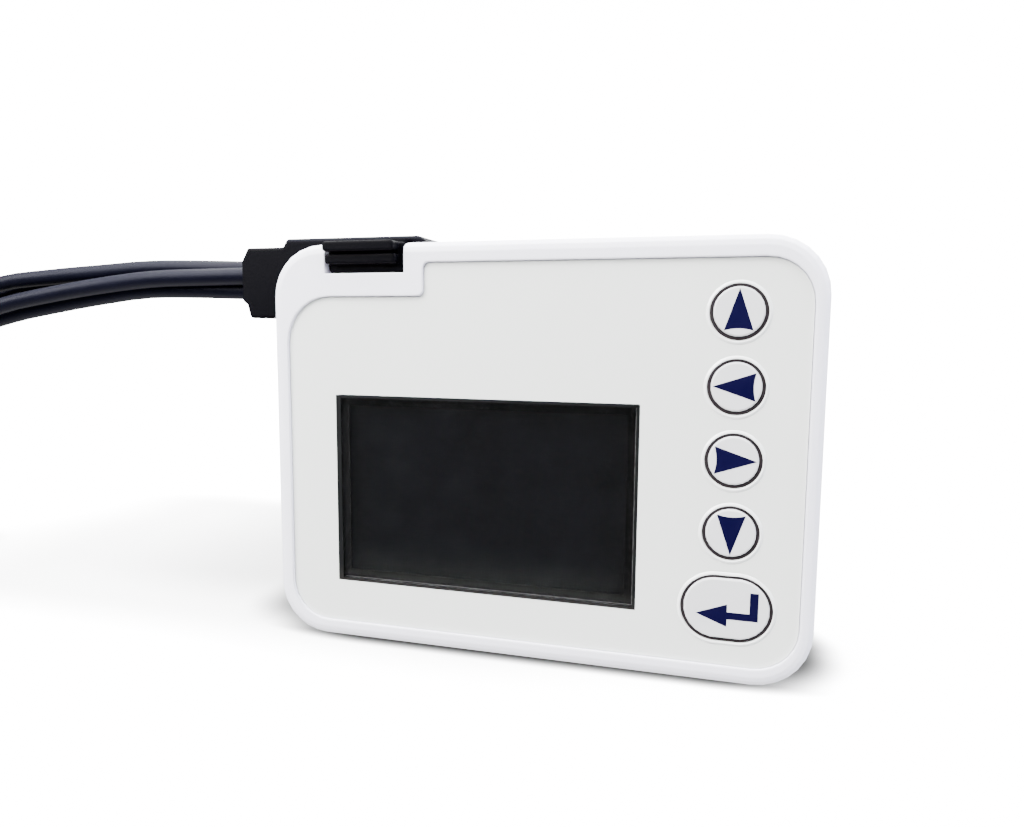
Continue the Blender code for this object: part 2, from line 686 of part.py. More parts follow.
def front_shell():
    low = (LEFT, FRONT, 0.0)
    high = (RIGHT, PARTING, CASE_HEIGHT)
    shell = rounded_box("front_shell", low, high, SHELL_WHITE, CORNER_RADIUS, near=FRONT_EDGE_RADIUS)
    cut(shell, cavity("front cavity", FRONT_INSIDE, PARTING + OVERRUN))
    inside = FRONT_INSIDE - SINK
    join(shell, round_set("front bosses", BOSSES, BOSS_RADIUS, inside, PARTING - RUN_GAP))
    post_end = BOARD_FACE - STACK_GAP
    join(shell, round_set("board posts", board_posts(), POST_RADIUS, inside, post_end, SMALL_ROUND_SIDES))
    join(shell, bay_walls("front bay walls", inside, PARTING - STACK_GAP))
    cut(shell, bay_tool("front bay", FRONT + BAY_FRONT_WALL, PARTING + OVERRUN))
    cut(shell, plate("panel recess", [panel_outline()], FRONT - OVERRUN, PANEL_FLOOR))
    cut(shell, notch_tool("front notch", FRONT - OVERRUN, FRONT_INSIDE + OVERRUN))
    cut(shell, window_seat("lens seat", 0.0, FRONT - OVERRUN, LENS_BACK + STACK_GAP / 2))
    cut(shell, window_seat("window opening", WINDOW_LEDGE, FRONT - OVERRUN, FRONT_INSIDE + OVERRUN))
    for name, (across, up, radius, half) in KEYS.items():
        hole = stadium(across, up, radius + KEY_RING + STACK_GAP, half)
        cut(shell, plate(f"{name} hole", [hole], FRONT - OVERRUN, FRONT_INSIDE + OVERRUN))
    cut(shell, screw_holes("pilot holes", PARTING - SCREW_BITE - RUN_GAP, PARTING + OVERRUN))
    cut(shell, tongue_slot("front tongue slot"))
    return smooth(shell)


def board_posts():
    """Four short posts on the front half, under the corners of the board."""
    low = BOARD_EDGE_INSET + POST_RADIUS
    left = BOARD_LEFT + POST_RADIUS
    return (
        (left, low),
        (WINDOW_RIGHT + WINDOW_LEDGE + 2 * POST_RADIUS, low),
        (left, WINDOW_TOP + WINDOW_LEDGE + GLASS_MARGIN + 2 * POST_RADIUS),
        (KEY_X - KEY_RADIUS - KEY_FLANGE - 2 * POST_RADIUS, BOARD_TOP - POST_RADIUS),
    )


def window_seat(name, inset, start, end):
    outline = box_outline(
        WINDOW_LEFT + inset, WINDOW_RIGHT - inset, WINDOW_BASE + inset, WINDOW_TOP - inset, WINDOW_CORNER,
    )
    return plate(name, [rounded(outline, EDGE_STEPS)], start, end)


def rear_shell():
    low = (LEFT, REAR_START, 0.0)
    high = (RIGHT, REAR, CASE_HEIGHT)
    shell = rounded_box("rear_shell", low, high, SHELL_WHITE, CORNER_RADIUS, far=REAR_EDGE_RADIUS)
    cut(shell, cavity("rear cavity", REAR_START - OVERRUN, REAR_INSIDE))
    inside = REAR_INSIDE + SINK
    join(shell, round_set("rear bosses", BOSSES, BOSS_RADIUS, REAR_START, inside))
    join(shell, bay_walls("rear bay walls", REAR_START + STACK_GAP, inside))
    cut(shell, bay_tool("rear bay", REAR_START - OVERRUN, REAR - BAY_FRONT_WALL))
    join(shell, battery_tub("battery tub"), tub_end("battery tub end"))
    cut(shell, battery_room("battery room"))
    cut(shell, door_seat("door seat"), door_slide("door runners"))
    cut(shell, notch_tool("rear notch", REAR_INSIDE - OVERRUN, REAR + OVERRUN))
    cut(shell, screw_holes("screw holes", REAR_START - OVERRUN, REAR + OVERRUN))
    sunk = REAR - SCREW_SINK - SCREW_HEAD_HEIGHT
    cut(shell, round_set("screw sinks", BOSSES, SCREW_HEAD_RADIUS + RUN_GAP, sunk, REAR + OVERRUN))
    cut(shell, tongue_slot("rear tongue slot"))
    return smooth(shell)


def screw_holes(name, start, end):
    return round_set(name, BOSSES, SCREW_RADIUS + RUN_GAP, start, end, SMALL_ROUND_SIDES)


def battery_tub(name):
    low = (BATTERY_BAY_LEFT - TUB_WALL, BATTERY_BAY_FRONT - TUB_WALL, BATTERY_BAY_BASE - TUB_WALL)
    high = (RIGHT - SIDE_WALL - RUN_GAP, REAR_INSIDE + SINK, BATTERY_BAY_TOP + TUB_WALL)
    return rounded_box(name, low, high)


def tub_end(name):
    """Ties the right end of the battery tub to the side wall of the rear half."""
    low = (BATTERY_BAY_RIGHT, REAR_START, BATTERY_BAY_BASE - TUB_WALL)
    high = (RIGHT - SIDE_WALL / 2, REAR_INSIDE + SINK, BATTERY_BAY_TOP + TUB_WALL)
    return rounded_box(name, low, high)


def battery_room(name):
    low = (BATTERY_BAY_LEFT, BATTERY_BAY_FRONT, BATTERY_BAY_BASE)
    high = (BATTERY_BAY_RIGHT, REAR + OVERRUN, BATTERY_BAY_TOP)
    return rounded_box(name, low, high)


def door_seat(name):
    low = (DOOR_LEFT - RUN_GAP, DOOR_BACK - RUN_GAP, DOOR_BASE - RUN_GAP)
    high = (RIGHT + OVERRUN, REAR + OVERRUN, DOOR_TOP + RUN_GAP)
    return rounded_box(name, low, high)


def door_slide(name):
    """The two grooves that the door's tongues run in."""
    low = (DOOR_LEFT - RUN_GAP, DOOR_BACK - RUN_GAP, DOOR_BASE - DOOR_TONGUE - RUN_GAP)
    high = (RIGHT + OVERRUN, DOOR_BACK + DOOR_TONGUE_THICKNESS + RUN_GAP, DOOR_TOP + DOOR_TONGUE + RUN_GAP)
    return rounded_box(name, low, high)


def battery_door():
    """The sliding door. Its outer face and its right end are trimmed to the form of the case."""
    low = (DOOR_LEFT, DOOR_BACK, DOOR_BASE)
    high = (RIGHT + OVERRUN, REAR + OVERRUN, DOOR_TOP)
    door = rounded_box("battery_door", low, high, SHELL_WHITE)
    tongue_low = (DOOR_LEFT, DOOR_BACK, DOOR_BASE - DOOR_TONGUE)
    tongue_high = (RIGHT + OVERRUN, DOOR_BACK + DOOR_TONGUE_THICKNESS, DOOR_TOP + DOOR_TONGUE)
    join(door, rounded_box("door tongues", tongue_low, tongue_high))
    form = rounded_box(
        "case form", (LEFT, REAR_START, 0.0), (RIGHT, REAR, CASE_HEIGHT),
        corner=CORNER_RADIUS, far=REAR_EDGE_RADIUS,
    )
    boolean(door, form, "INTERSECT")
    for index in range(DOOR_GRIPS):
        across = DOOR_LEFT + DOOR_GRIP_INSET + index * DOOR_GRIP_PITCH
        half = DOOR_GRIP_LENGTH / 2
        grip_low = (across, REAR - DOOR_GRIP_DEPTH, BATTERY_HEIGHT - half)
        grip_high = (across + DOOR_GRIP_WIDTH, REAR + OVERRUN, BATTERY_HEIGHT + half)
        cut(door, rounded_box(f"door grip {index + 1}", grip_low, grip_high))
    return smooth(door)


def rear_screws():
    """Four pan-head screws, one in each boss."""
    head_face = REAR - SCREW_SINK
    neck = head_face - SCREW_HEAD_HEIGHT
    tip = PARTING - SCREW_BITE
    profile = (
        (0.0, tip), (SCREW_RADIUS, tip + SCREW_RADIUS), (SCREW_RADIUS, neck), (SCREW_HEAD_RADIUS, neck),
        (SCREW_HEAD_RADIUS, head_face - SCREW_SLOT), (SCREW_HEAD_RADIUS - SCREW_SLOT, head_face),
        (SCREW_HEAD_RADIUS / 2, head_face), (SCREW_HEAD_RADIUS / 2, head_face - SCREW_SLOT),
        (0.0, head_face - SCREW_SLOT),
    )
    for index, (across, up) in enumerate(BOSSES):
        bm = bmesh.new()
        turned(bm, profile, (across, 0.0, up))
        smooth(from_bmesh(f"case_screw_{index + 1}", bm, BRIGHT_METAL))


def turned(bm, profile, centre, sides=SMALL_ROUND_SIDES):
    """Spins a profile of (radius, y) points about a line along Y through centre."""
    start = [bm.verts.new((radius + centre[0], away + centre[1], centre[2])) for radius, away in profile]
    edges = [bm.edges.new(pair) for pair in zip(start, start[1:])]
    bmesh.ops.spin(
        bm, geom=start + edges, cent=centre, axis=(0.0, 1.0, 0.0),
        angle=math.tau, steps=sides, use_merge=True,
    )
    bmesh.ops.remove_doubles(bm, verts=bm.verts, dist=WELD)


# Front panel, display and keys

def keypad_overlay():
    holes = [
        stadium(across, up, radius + KEY_RING, half)
        for across, up, radius, half in KEYS.values()
    ]
    window = box_outline(WINDOW_LEFT, WINDOW_RIGHT, WINDOW_BASE, WINDOW_TOP, WINDOW_CORNER)
    outlines = [panel_outline(STACK_GAP), rounded(window, EDGE_STEPS), *holes]
    return plate("keypad_overlay", outlines, OVERLAY_FACE, OVERLAY_BACK, OVERLAY_GREY)


def display_window():
    outline = box_outline(
        WINDOW_LEFT + STACK_GAP, WINDOW_RIGHT - STACK_GAP,
        WINDOW_BASE + STACK_GAP, WINDOW_TOP - STACK_GAP, WINDOW_CORNER,
    )
    return plate("display_window", [rounded(outline, EDGE_STEPS)], LENS_FACE, LENS_BACK, WINDOW_CLEAR)


def glass_outline(grow=0.0):
    reach = GLASS_MARGIN + grow
    return (
        WINDOW_LEFT - reach, WINDOW_RIGHT + reach, WINDOW_BASE - reach, WINDOW_TOP + reach,
    )


def display_module():
    left, right, base, top = glass_outline()
    rounded_box("lcd_glass", (left, GLASS_FACE, base), (right, GLASS_BACK, top), LCD_DARK)
    rounded_box("lcd_backlight", (left, BACKLIGHT_FACE, base), (right, BACKLIGHT_BACK, top), LIGHT_GUIDE)
    inner = glass_outline(STACK_GAP)
    outer = glass_outline(STACK_GAP + HOLDER_WALL)
    holder_low = (outer[0], GLASS_FACE, outer[2])
    holder_high = (outer[1], HOLDER_BACK, outer[3])
    holder = rounded_box("lcd_holder", holder_low, holder_high, HOLDER_BLACK, HOLDER_WALL, steps=EDGE_STEPS)
    pocket_low = (inner[0], GLASS_FACE - OVERRUN, inner[2])
    pocket_high = (inner[1], BACKLIGHT_BACK + STACK_GAP, inner[3])
    cut(holder, rounded_box("display pocket", pocket_low, pocket_high))
    tail = FLEX_WIDTH / 2 + RUN_GAP
    middle = (left + right) / 2
    gate_low = (middle - tail, GLASS_FACE - OVERRUN, outer[2] - OVERRUN)
    gate_high = (middle + tail, BACKLIGHT_FACE, inner[2] + STACK_GAP)
    cut(holder, rounded_box("flex gate", gate_low, gate_high))
    flex_tail(middle, base, outer[2])


def flex_tail(middle, glass_base, holder_base):
    """The thin printed tail that leaves the foot of the glass and folds back to the board."""
    face = GLASS_FACE + GLASS_THICKNESS / 2
    back = BOARD_FACE - STACK_GAP
    low = holder_base - FLEX_DROP
    bend = (back - face) / 2
    end = holder_base - RUN_GAP
    outer = [
        (face, glass_base - STACK_GAP, 0.0), (face, low, bend), (back, low, bend), (back, end, 0.0),
    ]
    inner = [
        (back - FLEX_THICKNESS, end, 0.0),
        (back - FLEX_THICKNESS, low + FLEX_THICKNESS, bend - FLEX_THICKNESS),
        (face + FLEX_THICKNESS, low + FLEX_THICKNESS, bend - FLEX_THICKNESS),
        (face + FLEX_THICKNESS, glass_base - STACK_GAP, 0.0),
    ]
    half = FLEX_WIDTH / 2
    plate("lcd_flex", [rounded(outer + inner)], middle - half, middle + half, FLEX_AMBER, SIDEWAYS)


def keys():
    """Each key is a low cap that stands in its ring, with a flange behind the wall and a stem."""
    flange_face = FRONT_INSIDE + RUN_GAP
    flange_back = flange_face + KEY_FLANGE_THICKNESS
    switch_top = BOARD_FACE - STACK_GAP - SWITCH_HEIGHT - DOME_HEIGHT
    stem_end = switch_top - KEY_TRAVEL - STACK_GAP
    for name, (across, up, radius, half) in KEYS.items():
        cap = plate(name, [stadium(across, up, radius, half)], KEY_FACE, flange_face + SINK, KEY_GREY)
        round_rims(cap, KEY_EDGE, steps=2, ends=(-1,))
        flange = stadium(across, up, radius + KEY_RING + KEY_FLANGE, half, SMALL_ROUND_SIDES)
        join(cap, plate(f"{name} flange", [flange], flange_face, flange_back))
        stem = cylinder(
            f"{name} stem", (across, 0.0, up), KEY_STEM_RADIUS, flange_back - SINK, stem_end,
            sides=SMALL_ROUND_SIDES,
        )
        join(cap, stem)
        smooth(cap)
        switch(f"switch_{name.removeprefix('button_')}", across, up)


def switch(name, across, up):
    """A flat tactile switch on the board, with its dome under the key's stem."""
    half = SWITCH_SIDE / 2
    back = BOARD_FACE - STACK_GAP
    face = back - SWITCH_HEIGHT
    low = (across - half, face, up - half)
    high = (across + half, back, up + half)
    body = rounded_box(name, low, high, BRIGHT_METAL, SWITCH_CORNER, steps=EDGE_STEPS)
    dome = cylinder(
        f"{name} dome", (across, 0.0, up), DOME_RADIUS / 2, face - DOME_HEIGHT, face + SWITCH_HEIGHT / 2,
        sides=SMALL_ROUND_SIDES, end_radius=DOME_RADIUS,
    )
    return join(body, dome)


# Board and electronics

def main_board():
    outline = [
        (BOARD_LEFT, BOARD_EDGE_INSET, BOARD_CORNER),
        (BOARD_RIGHT, BOARD_EDGE_INSET, BOARD_CORNER),
        (BOARD_RIGHT, BOARD_TOP, BOARD_CORNER),
        (BAY_RIGHT + BAY_WALL + 2 * RUN_GAP, BOARD_TOP, BOARD_CORNER),
        (BAY_RIGHT + BAY_WALL + 2 * RUN_GAP, BAY_UNDERSIDE - RUN_GAP, BOARD_CORNER),
        (BOARD_LEFT, BAY_UNDERSIDE - RUN_GAP, BOARD_CORNER),
    ]
    plate("main_board", [rounded(outline, EDGE_STEPS)], BOARD_FACE, BOARD_BACK, BOARD_GREEN)


def chip(name, across, up, width, height, thickness, look=CHIP_BLACK):
    """A flat package on the back of the board, with one chamfered lid edge."""
    low = (across - width / 2, BOARD_BACK + STACK_GAP, up - height / 2)
    high = (across + width / 2, BOARD_BACK + STACK_GAP + thickness, up + height / 2)
    return rounded_box(name, low, high, look, CHIP_LEAD, far=CHIP_LEAD / 2, steps=1)


def electronics():
    """A row of parts just above the battery tub, and the crystal and buzzer near the top."""
    row = BATTERY_BAY_TOP + TUB_WALL + CHIP_TUB_GAP
    across = TONGUE_X
    side = AMPLIFIER_SIDE
    chip("ecg_amplifier_chip", across, row + side / 2, side, side, AMPLIFIER_HEIGHT)
    side = PROCESSOR_SIDE
    across += (TONGUE_WIDTH + side) / 2 + SOCKET_ROOM + SOCKET_WALL + CHIP_SIDE_GAP
    chip("processor_chip", across, row + side / 2, side, side, PROCESSOR_HEIGHT)
    across += (side + MEMORY_WIDTH) / 2 + CHIP_SIDE_GAP
    chip("memory_chip", across, row + MEMORY_HEIGHT / 2, MEMORY_WIDTH, MEMORY_HEIGHT, MEMORY_THICKNESS)
    cell_x = across + MEMORY_WIDTH / 2 + CHIP_SIDE_GAP + CELL_RADIUS
    crystal = (BAY_RIGHT + BAY_WALL + CRYSTAL_INSET, BOARD_TOP - BUZZER_DROP)
    chip("clock_crystal", *crystal, CRYSTAL_LENGTH, CRYSTAL_WIDTH, CRYSTAL_THICKNESS, BRIGHT_METAL)
    seat = BOARD_BACK + STACK_GAP
    mouth = seat + BUZZER_HEIGHT
    place = (BOARD_RIGHT - BUZZER_INSET, 0.0, BOARD_TOP - BUZZER_DROP)
    buzzer = cylinder("buzzer", place, BUZZER_RADIUS, seat, mouth, CHIP_BLACK)
    cut(buzzer, cylinder(
        "buzzer mouth", place, BUZZER_HOLE_RADIUS, mouth - BUZZER_HOLE_DEPTH, mouth + OVERRUN,
        sides=SMALL_ROUND_SIDES,
    ))
    smooth(buzzer)
    place = (cell_x, 0.0, row + CELL_RADIUS)
    cell = cylinder("clock_cell", place, CELL_RADIUS, seat, seat + CELL_HEIGHT, BRIGHT_METAL)
    smooth(round_rims(cell, CHIP_LEAD, steps=2))


# Battery

def battery():
    """A size AAA cell that lies along X, turned from its profile."""
    bm = bmesh.new()
    left = BATTERY_LEFT
    right = BATTERY_RIGHT
    rim = CELL_AAA_RIM
    profile = (
        (0.0, left), (CELL_AAA_RADIUS - rim, left), (CELL_AAA_RADIUS, left + rim),
        (CELL_AAA_RADIUS, right - rim), (CELL_AAA_RADIUS - rim, right),
        (CELL_NUB_RADIUS, right), (CELL_NUB_RADIUS, right + CELL_NUB_HEIGHT),
        (0.0, right + CELL_NUB_HEIGHT),
    )
    turned(bm, profile, (0.0, 0.0, 0.0), ROUND_SIDES)
    bmesh.ops.rotate(bm, matrix=Matrix.Rotation(math.radians(-90), 3, "Z"), verts=bm.verts)
    bmesh.ops.translate(bm, vec=(0.0, BATTERY_Y, BATTERY_HEIGHT), verts=bm.verts)
    return smooth(from_bmesh("battery", bm, CELL_BLUE))


def battery_contacts():
    half = CONTACT_SIDE / 2
    low = (BATTERY_BAY_RIGHT - STACK_GAP - CONTACT_THICKNESS, BATTERY_Y - half, BATTERY_HEIGHT - half)
    high = (BATTERY_BAY_RIGHT - STACK_GAP, BATTERY_Y + half, BATTERY_HEIGHT + half)
    rounded_box("battery_contact_positive", low, high, BRIGHT_METAL)
    low = (BATTERY_BAY_LEFT + STACK_GAP, BATTERY_Y - half, BATTERY_HEIGHT - half)
    high = (BATTERY_BAY_LEFT + STACK_GAP + CONTACT_THICKNESS, BATTERY_Y + half, BATTERY_HEIGHT + half)
    rounded_box("battery_contact_negative", low, high, BRIGHT_METAL)
    start = high[0] + SPRING_WIRE_RADIUS + STACK_GAP
    end = BATTERY_LEFT - SPRING_WIRE_RADIUS - STACK_GAP
    steps = int(SPRING_TURNS * SPRING_TURN_STEPS)
    points = []
    for step in range(steps + 1):
        share = step / steps
        radius = SPRING_WIDE_RADIUS + (SPRING_NARROW_RADIUS - SPRING_WIDE_RADIUS) * share
        angle = math.tau * SPRING_TURNS * share
        points.append((
            start + (end - start) * share,
            BATTERY_Y + radius * math.cos(angle),
            BATTERY_HEIGHT + radius * math.sin(angle),
        ))
    wire("battery_spring", points, SPRING_WIRE_RADIUS, BRIGHT_METAL, LEAD_SIDES - 1)


def wire(name, points, radius, look, sides=LEAD_SIDES):
    """A round wire or lead along points, as a closed tube."""
    curve = bpy.data.curves.new(name, "CURVE")
    curve.dimensions = "3D"
    curve.bevel_depth = radius
    curve.bevel_resolution = sides
    curve.use_fill_caps = True
    spline = curve.splines.new("POLY")
    spline.points.add(len(points) - 1)
    for point, place in zip(spline.points, points):
        point.co = (*place, 1.0)
    made = bpy.data.objects.new(name, curve)
    PIECES.objects.link(made)
    curve.materials.append(look)
    return made


# Socket in the case, and the lead plug

def cable_socket():
    """A small metal-walled socket behind the board that takes the plug's tongue from above."""
    half_x = TONGUE_WIDTH / 2 + SOCKET_ROOM
    front = BOARD_BACK + STACK_GAP
    back = TONGUE_Y + TONGUE_THICKNESS / 2 + SOCKET_ROOM + SOCKET_WALL
    top = BAY_UNDERSIDE - SOCKET_TOP_GAP
    base = top - SOCKET_DEPTH
    outer = box_outline(TONGUE_X - half_x - SOCKET_WALL, TONGUE_X + half_x + SOCKET_WALL, front, back)
    inner_front = TONGUE_Y - TONGUE_THICKNESS / 2 - 2 * (PIN_THICKNESS + STACK_GAP) - RUN_GAP
    inner_back = back - SOCKET_WALL
    inner = box_outline(TONGUE_X - half_x, TONGUE_X + half_x, inner_front, inner_back)
    plate("socket_shell", [rounded(outer), rounded(inner)], base, top, BRIGHT_METAL, FLAT)
    gap = STACK_GAP
    low = (TONGUE_X - half_x + gap, inner_front + gap, base)
    high = (TONGUE_X + half_x - gap, inner_back - gap, base + SOCKET_BASE)
    rounded_box("socket_insulator", low, high, CHIP_BLACK)
    pins("socket_pins", inner_front + gap, base + SOCKET_BASE + gap)


def pins(name, front, base):
    """A row of flat contacts that stand on their common strip."""
    outline = []
    strip_top = base + PIN_THICKNESS
    for index in range(PIN_COUNT):
        middle = TONGUE_X + (index - (PIN_COUNT - 1) / 2) * PIN_PITCH
        left, right = middle - PIN_WIDTH / 2, middle + PIN_WIDTH / 2
        tip = base + PIN_LENGTH
        outline += [(left, strip_top), (left, tip), (right, tip), (right, strip_top)]
    outline[0] = (outline[0][0], base)
    outline[-1] = (outline[-1][0], base)
    return plate(name, [outline], front, front + PIN_THICKNESS, GOLD_METAL)


def plug_outline():
    """The side of the plug: a block in the corner bay that juts out on the left for the leads, and a
    plate that lies on top of the case."""
    plate_base = CASE_HEIGHT + PLUG_PLATE_GAP
    plate_left = LEFT + PLUG_SHOULDER_X_GAP
    shoulder = CASE_HEIGHT - PLUG_SHOULDER
    end = BAY_RIGHT + PLUG_PLATE_OVERHANG
    return rounded([
        (LEFT - PLUG_FOOT_JUT, PLUG_BASE, PLUG_CORNER),
        (PLUG_RIGHT, PLUG_BASE, 0.0),
        (PLUG_RIGHT, plate_base, 0.0),
        (end, plate_base, 0.0),
        (end - PLUG_PLATE_END_SLOPE, PLUG_TOP, PLUG_PLATE_RISE),
        (plate_left + PLUG_PLATE_SLOPE, PLUG_TOP, PLUG_CORNER),
        (plate_left, shoulder, PLUG_CORNER),
        (LEFT - PLUG_HEAD_JUT, shoulder, PLUG_EDGE),
        (PLUG_LEFT, PLUG_EXIT_HIGH, PLUG_EDGE),
        (PLUG_LEFT, PLUG_EXIT_LOW, PLUG_CORNER),
        (LEFT - PLUG_FOOT_JUT - PLUG_FOOT_LEAN, PLUG_EXIT_LOW - PLUG_CORNER, PLUG_EDGE),
    ], EDGE_STEPS)


def plug_housing():
    housing = plate("plug_housing", [plug_outline()], PLUG_FRONT, -PLUG_FRONT, PLUG_BLACK)
    round_rims(housing, PLUG_EDGE, steps=2)
    for side, word in ((1, "front"), (-1, "rear")):
        join(housing, *grip(word, side))
    half = TONGUE_WIDTH / 2 + STACK_GAP
    deep = TONGUE_THICKNESS / 2 + STACK_GAP
    low = (TONGUE_X - half, TONGUE_Y - deep, PLUG_BASE - OVERRUN)
    high = (TONGUE_X + half, TONGUE_Y + deep, PLUG_BASE + TONGUE_SEAT)
    cut(housing, rounded_box("tongue seat", low, high))
    return smooth(housing)


def grip(word, side):
    """The thumb pad that fills the notch, with two ribs across it. side is 1 in front and -1 behind."""
    left = NOTCH_LEFT + GRIP_GAP
    right = NOTCH_RIGHT - RUN_GAP
    base = NOTCH_FLOOR + GRIP_GAP
    face = FRONT + GRIP_SINK
    root = PLUG_FRONT + SINK
    tools = []
    rib_top = CASE_HEIGHT + PLUG_PLATE_GAP
    steps = [("pad", left, right, base, rib_top - STACK_GAP, face)]
    for name, rise, drop in (("upper rib", RIB_RISE, 0.0), ("lower rib", LOWER_RIB_RISE, RIB_PITCH)):
        top = rib_top - drop
        steps.append((name, left, right - RIB_END_INSET, top - RIB_HEIGHT, top, FRONT - rise))
    for name, x0, x1, z0, z1, y in steps:
        start, end = sorted((side * y, side * root))
        outer = {"near": GRIP_EDGE} if side > 0 else {"far": GRIP_EDGE}
        tools.append(rounded_box(
            f"{word} {name}", (x0, start, z0), (x1, end, z1),
            corner=2 * GRIP_EDGE, steps=EDGE_STEPS, **outer,
        ))
    return tools


def plug_tongue():
    half = TONGUE_WIDTH / 2
    deep = TONGUE_THICKNESS / 2
    low = (TONGUE_X - half, TONGUE_Y - deep, PLUG_BASE - TONGUE_LENGTH)
    high = (TONGUE_X + half, TONGUE_Y + deep, PLUG_BASE + TONGUE_SEAT - STACK_GAP)
    rounded_box("plug_tongue", low, high, CHIP_BLACK, TONGUE_THICKNESS / 3, axis=2, steps=1)
    front = TONGUE_Y - deep - STACK_GAP - PIN_THICKNESS
    pins("plug_contacts", front, PLUG_BASE - TONGUE_LENGTH + STACK_GAP)


# Leads and hank

def smooth_route(points, count):
    """Evenly counted points along a smooth curve that goes through every route point."""
    ends = [points[0] * 2 - points[1], *points, points[-1] * 2 - points[-2]]
    spans = len(points) - 1
    route = []
    for step in range(count):
        place = step / (count - 1) * spans
        span = min(int(place), spans - 1)
        t = place - span
        a, b, c, d = ends[span:span + 4]
        bend = (2 * a - 5 * b + 4 * c - d) * t ** 2 + (3 * b - a - 3 * c + d) * t ** 3
        route.append((2 * b + (c - a) * t + bend) / 2)
    return route


def leads():
    for index, route in enumerate(LEAD_ROUTES):
        points = smooth_route([Vector(place) for place in route], LEAD_POINTS)
        wire(f"lead_{index + 1}", points, LEAD_RADIUS, LEAD_BLACK)


def lead_hank():
    """The folded rest of the leads, as the plain outer shape of their hank, with a groove for its tie.
    The leads are wound in standing loops, so the hank has round ends when it is seen from the front."""
    radius = HANK_HEIGHT / 2
    middle = (HANK_NEAR_X + HANK_FAR_X) / 2
    half = (HANK_NEAR_X - HANK_FAR_X) / 2 - radius
    front, rear = HANK_MID_Y - HANK_WIDTH / 2, HANK_MID_Y + HANK_WIDTH / 2
    hank = plate("lead_hank", [stadium(middle, radius, radius, half)], front, rear, LEAD_BLACK)
    round_rims(hank, HANK_EDGE)
    room = TIE_THICKNESS + RUN_GAP
    tie_half = TIE_WIDTH / 2 + RUN_GAP
    groove = rounded_box(
        "tie groove", (middle - tie_half, front - OVERRUN, -OVERRUN),
        (middle + tie_half, rear + OVERRUN, HANK_HEIGHT + OVERRUN),
    )
    core_low = (middle - TIE_WIDTH, front + room, room)
    core_high = (middle + TIE_WIDTH, rear - room, HANK_HEIGHT - room)
    cut(groove, rounded_box("tie core", core_low, core_high, corner=HANK_EDGE, axis=0, steps=EDGE_STEPS))
    cut(hank, groove)
    smooth(hank)
    wall = TIE_THICKNESS
    outer = box_outline(front, rear, 0.0, HANK_HEIGHT, HANK_EDGE + wall)
    inner = box_outline(front + wall, rear - wall, wall, HANK_HEIGHT - wall, HANK_EDGE)
    tie = plate(
        "hank_tie", [rounded(outer, EDGE_STEPS), rounded(inner, EDGE_STEPS)],
        middle - TIE_WIDTH / 2, middle + TIE_WIDTH / 2, TIE_GREY, SIDEWAYS,
    )
    smooth(tie)


def snap_connectors():
    """Round electrode snaps on the ends of the leads, which lie on the hank in two rows, with one
    between the rows."""
    first, between, last = (
        HANK_NEAR_X - inset for inset in (SNAP_FIRST_INSET, SNAP_MIDDLE_INSET, SNAP_LAST_INSET)
    )
    front = HANK_MID_Y - SNAP_FRONT_SPREAD
    middle = HANK_MID_Y + SNAP_MIDDLE_SPREAD
    rear = HANK_MID_Y + SNAP_REAR_SPREAD
    places = ((last, front), (first, front), (between, middle), (first, rear), (last, rear))
    for index, (across, away) in enumerate(places):
        snap_connector(f"electrode_snap_{index + 1}", across, away)


def snap_connector(name, across, away):
    """One snap, with a socket for the electrode's stud and a tapered tail that points to the right."""
    base = HANK_HEIGHT + RUN_GAP
    top = base + SNAP_HEIGHT
    snap = cylinder(name, (across, away, 0.0), SNAP_RADIUS, base, top, LEAD_BLACK, "Z", SNAP_SIDES)
    round_rims(snap, SNAP_EDGE, axis=2, steps=2)
    start = across + SNAP_RADIUS / 2
    end = across + SNAP_RADIUS + SNAP_TAIL_LENGTH
    wide, narrow = SNAP_TAIL_WIDTH / 2, SNAP_TAIL_END_WIDTH / 2
    tail = rounded([
        (start, away - wide, 0.0), (end, away - narrow, 0.0),
        (end, away + narrow, 0.0), (start, away + wide, 0.0),
    ])
    lift = (SNAP_HEIGHT - SNAP_TAIL_END_WIDTH) / 2
    join(snap, plate(f"{name} tail", [tail], base + lift, top - lift, plane=FLAT))
    cut(snap, cylinder(
        f"{name} bore", (across, away, 0.0), SNAP_BORE_RADIUS, top - SNAP_BORE_DEPTH, top + OVERRUN,
        axis="Z", sides=SMALL_ROUND_SIDES,
    ))
    return smooth(snap)


def build():
    front_shell()
    rear_shell()
    keypad_overlay()
    display_window()
    display_module()
    keys()
    main_board()
    electronics()
    cable_socket()
    battery()
    battery_contacts()
    battery_door()
    rear_screws()
    plug_housing()
    plug_tongue()
    leads()
    lead_hank()
    snap_connectors()


build()
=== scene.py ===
# %% [markdown]
# # A pocket ECG recorder with its lead set
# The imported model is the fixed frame. It holds every rigid part at its true place, so this lesson adds
# the camera, the light, the finishes and the finer pieces, all in metres in the same frame.
# The recorder stands on its long lower edge. X runs to the right, Y away from the viewer, Z up.
# %% Load the frame
import math

import bmesh
import bpy
from mathutils import Matrix, Vector


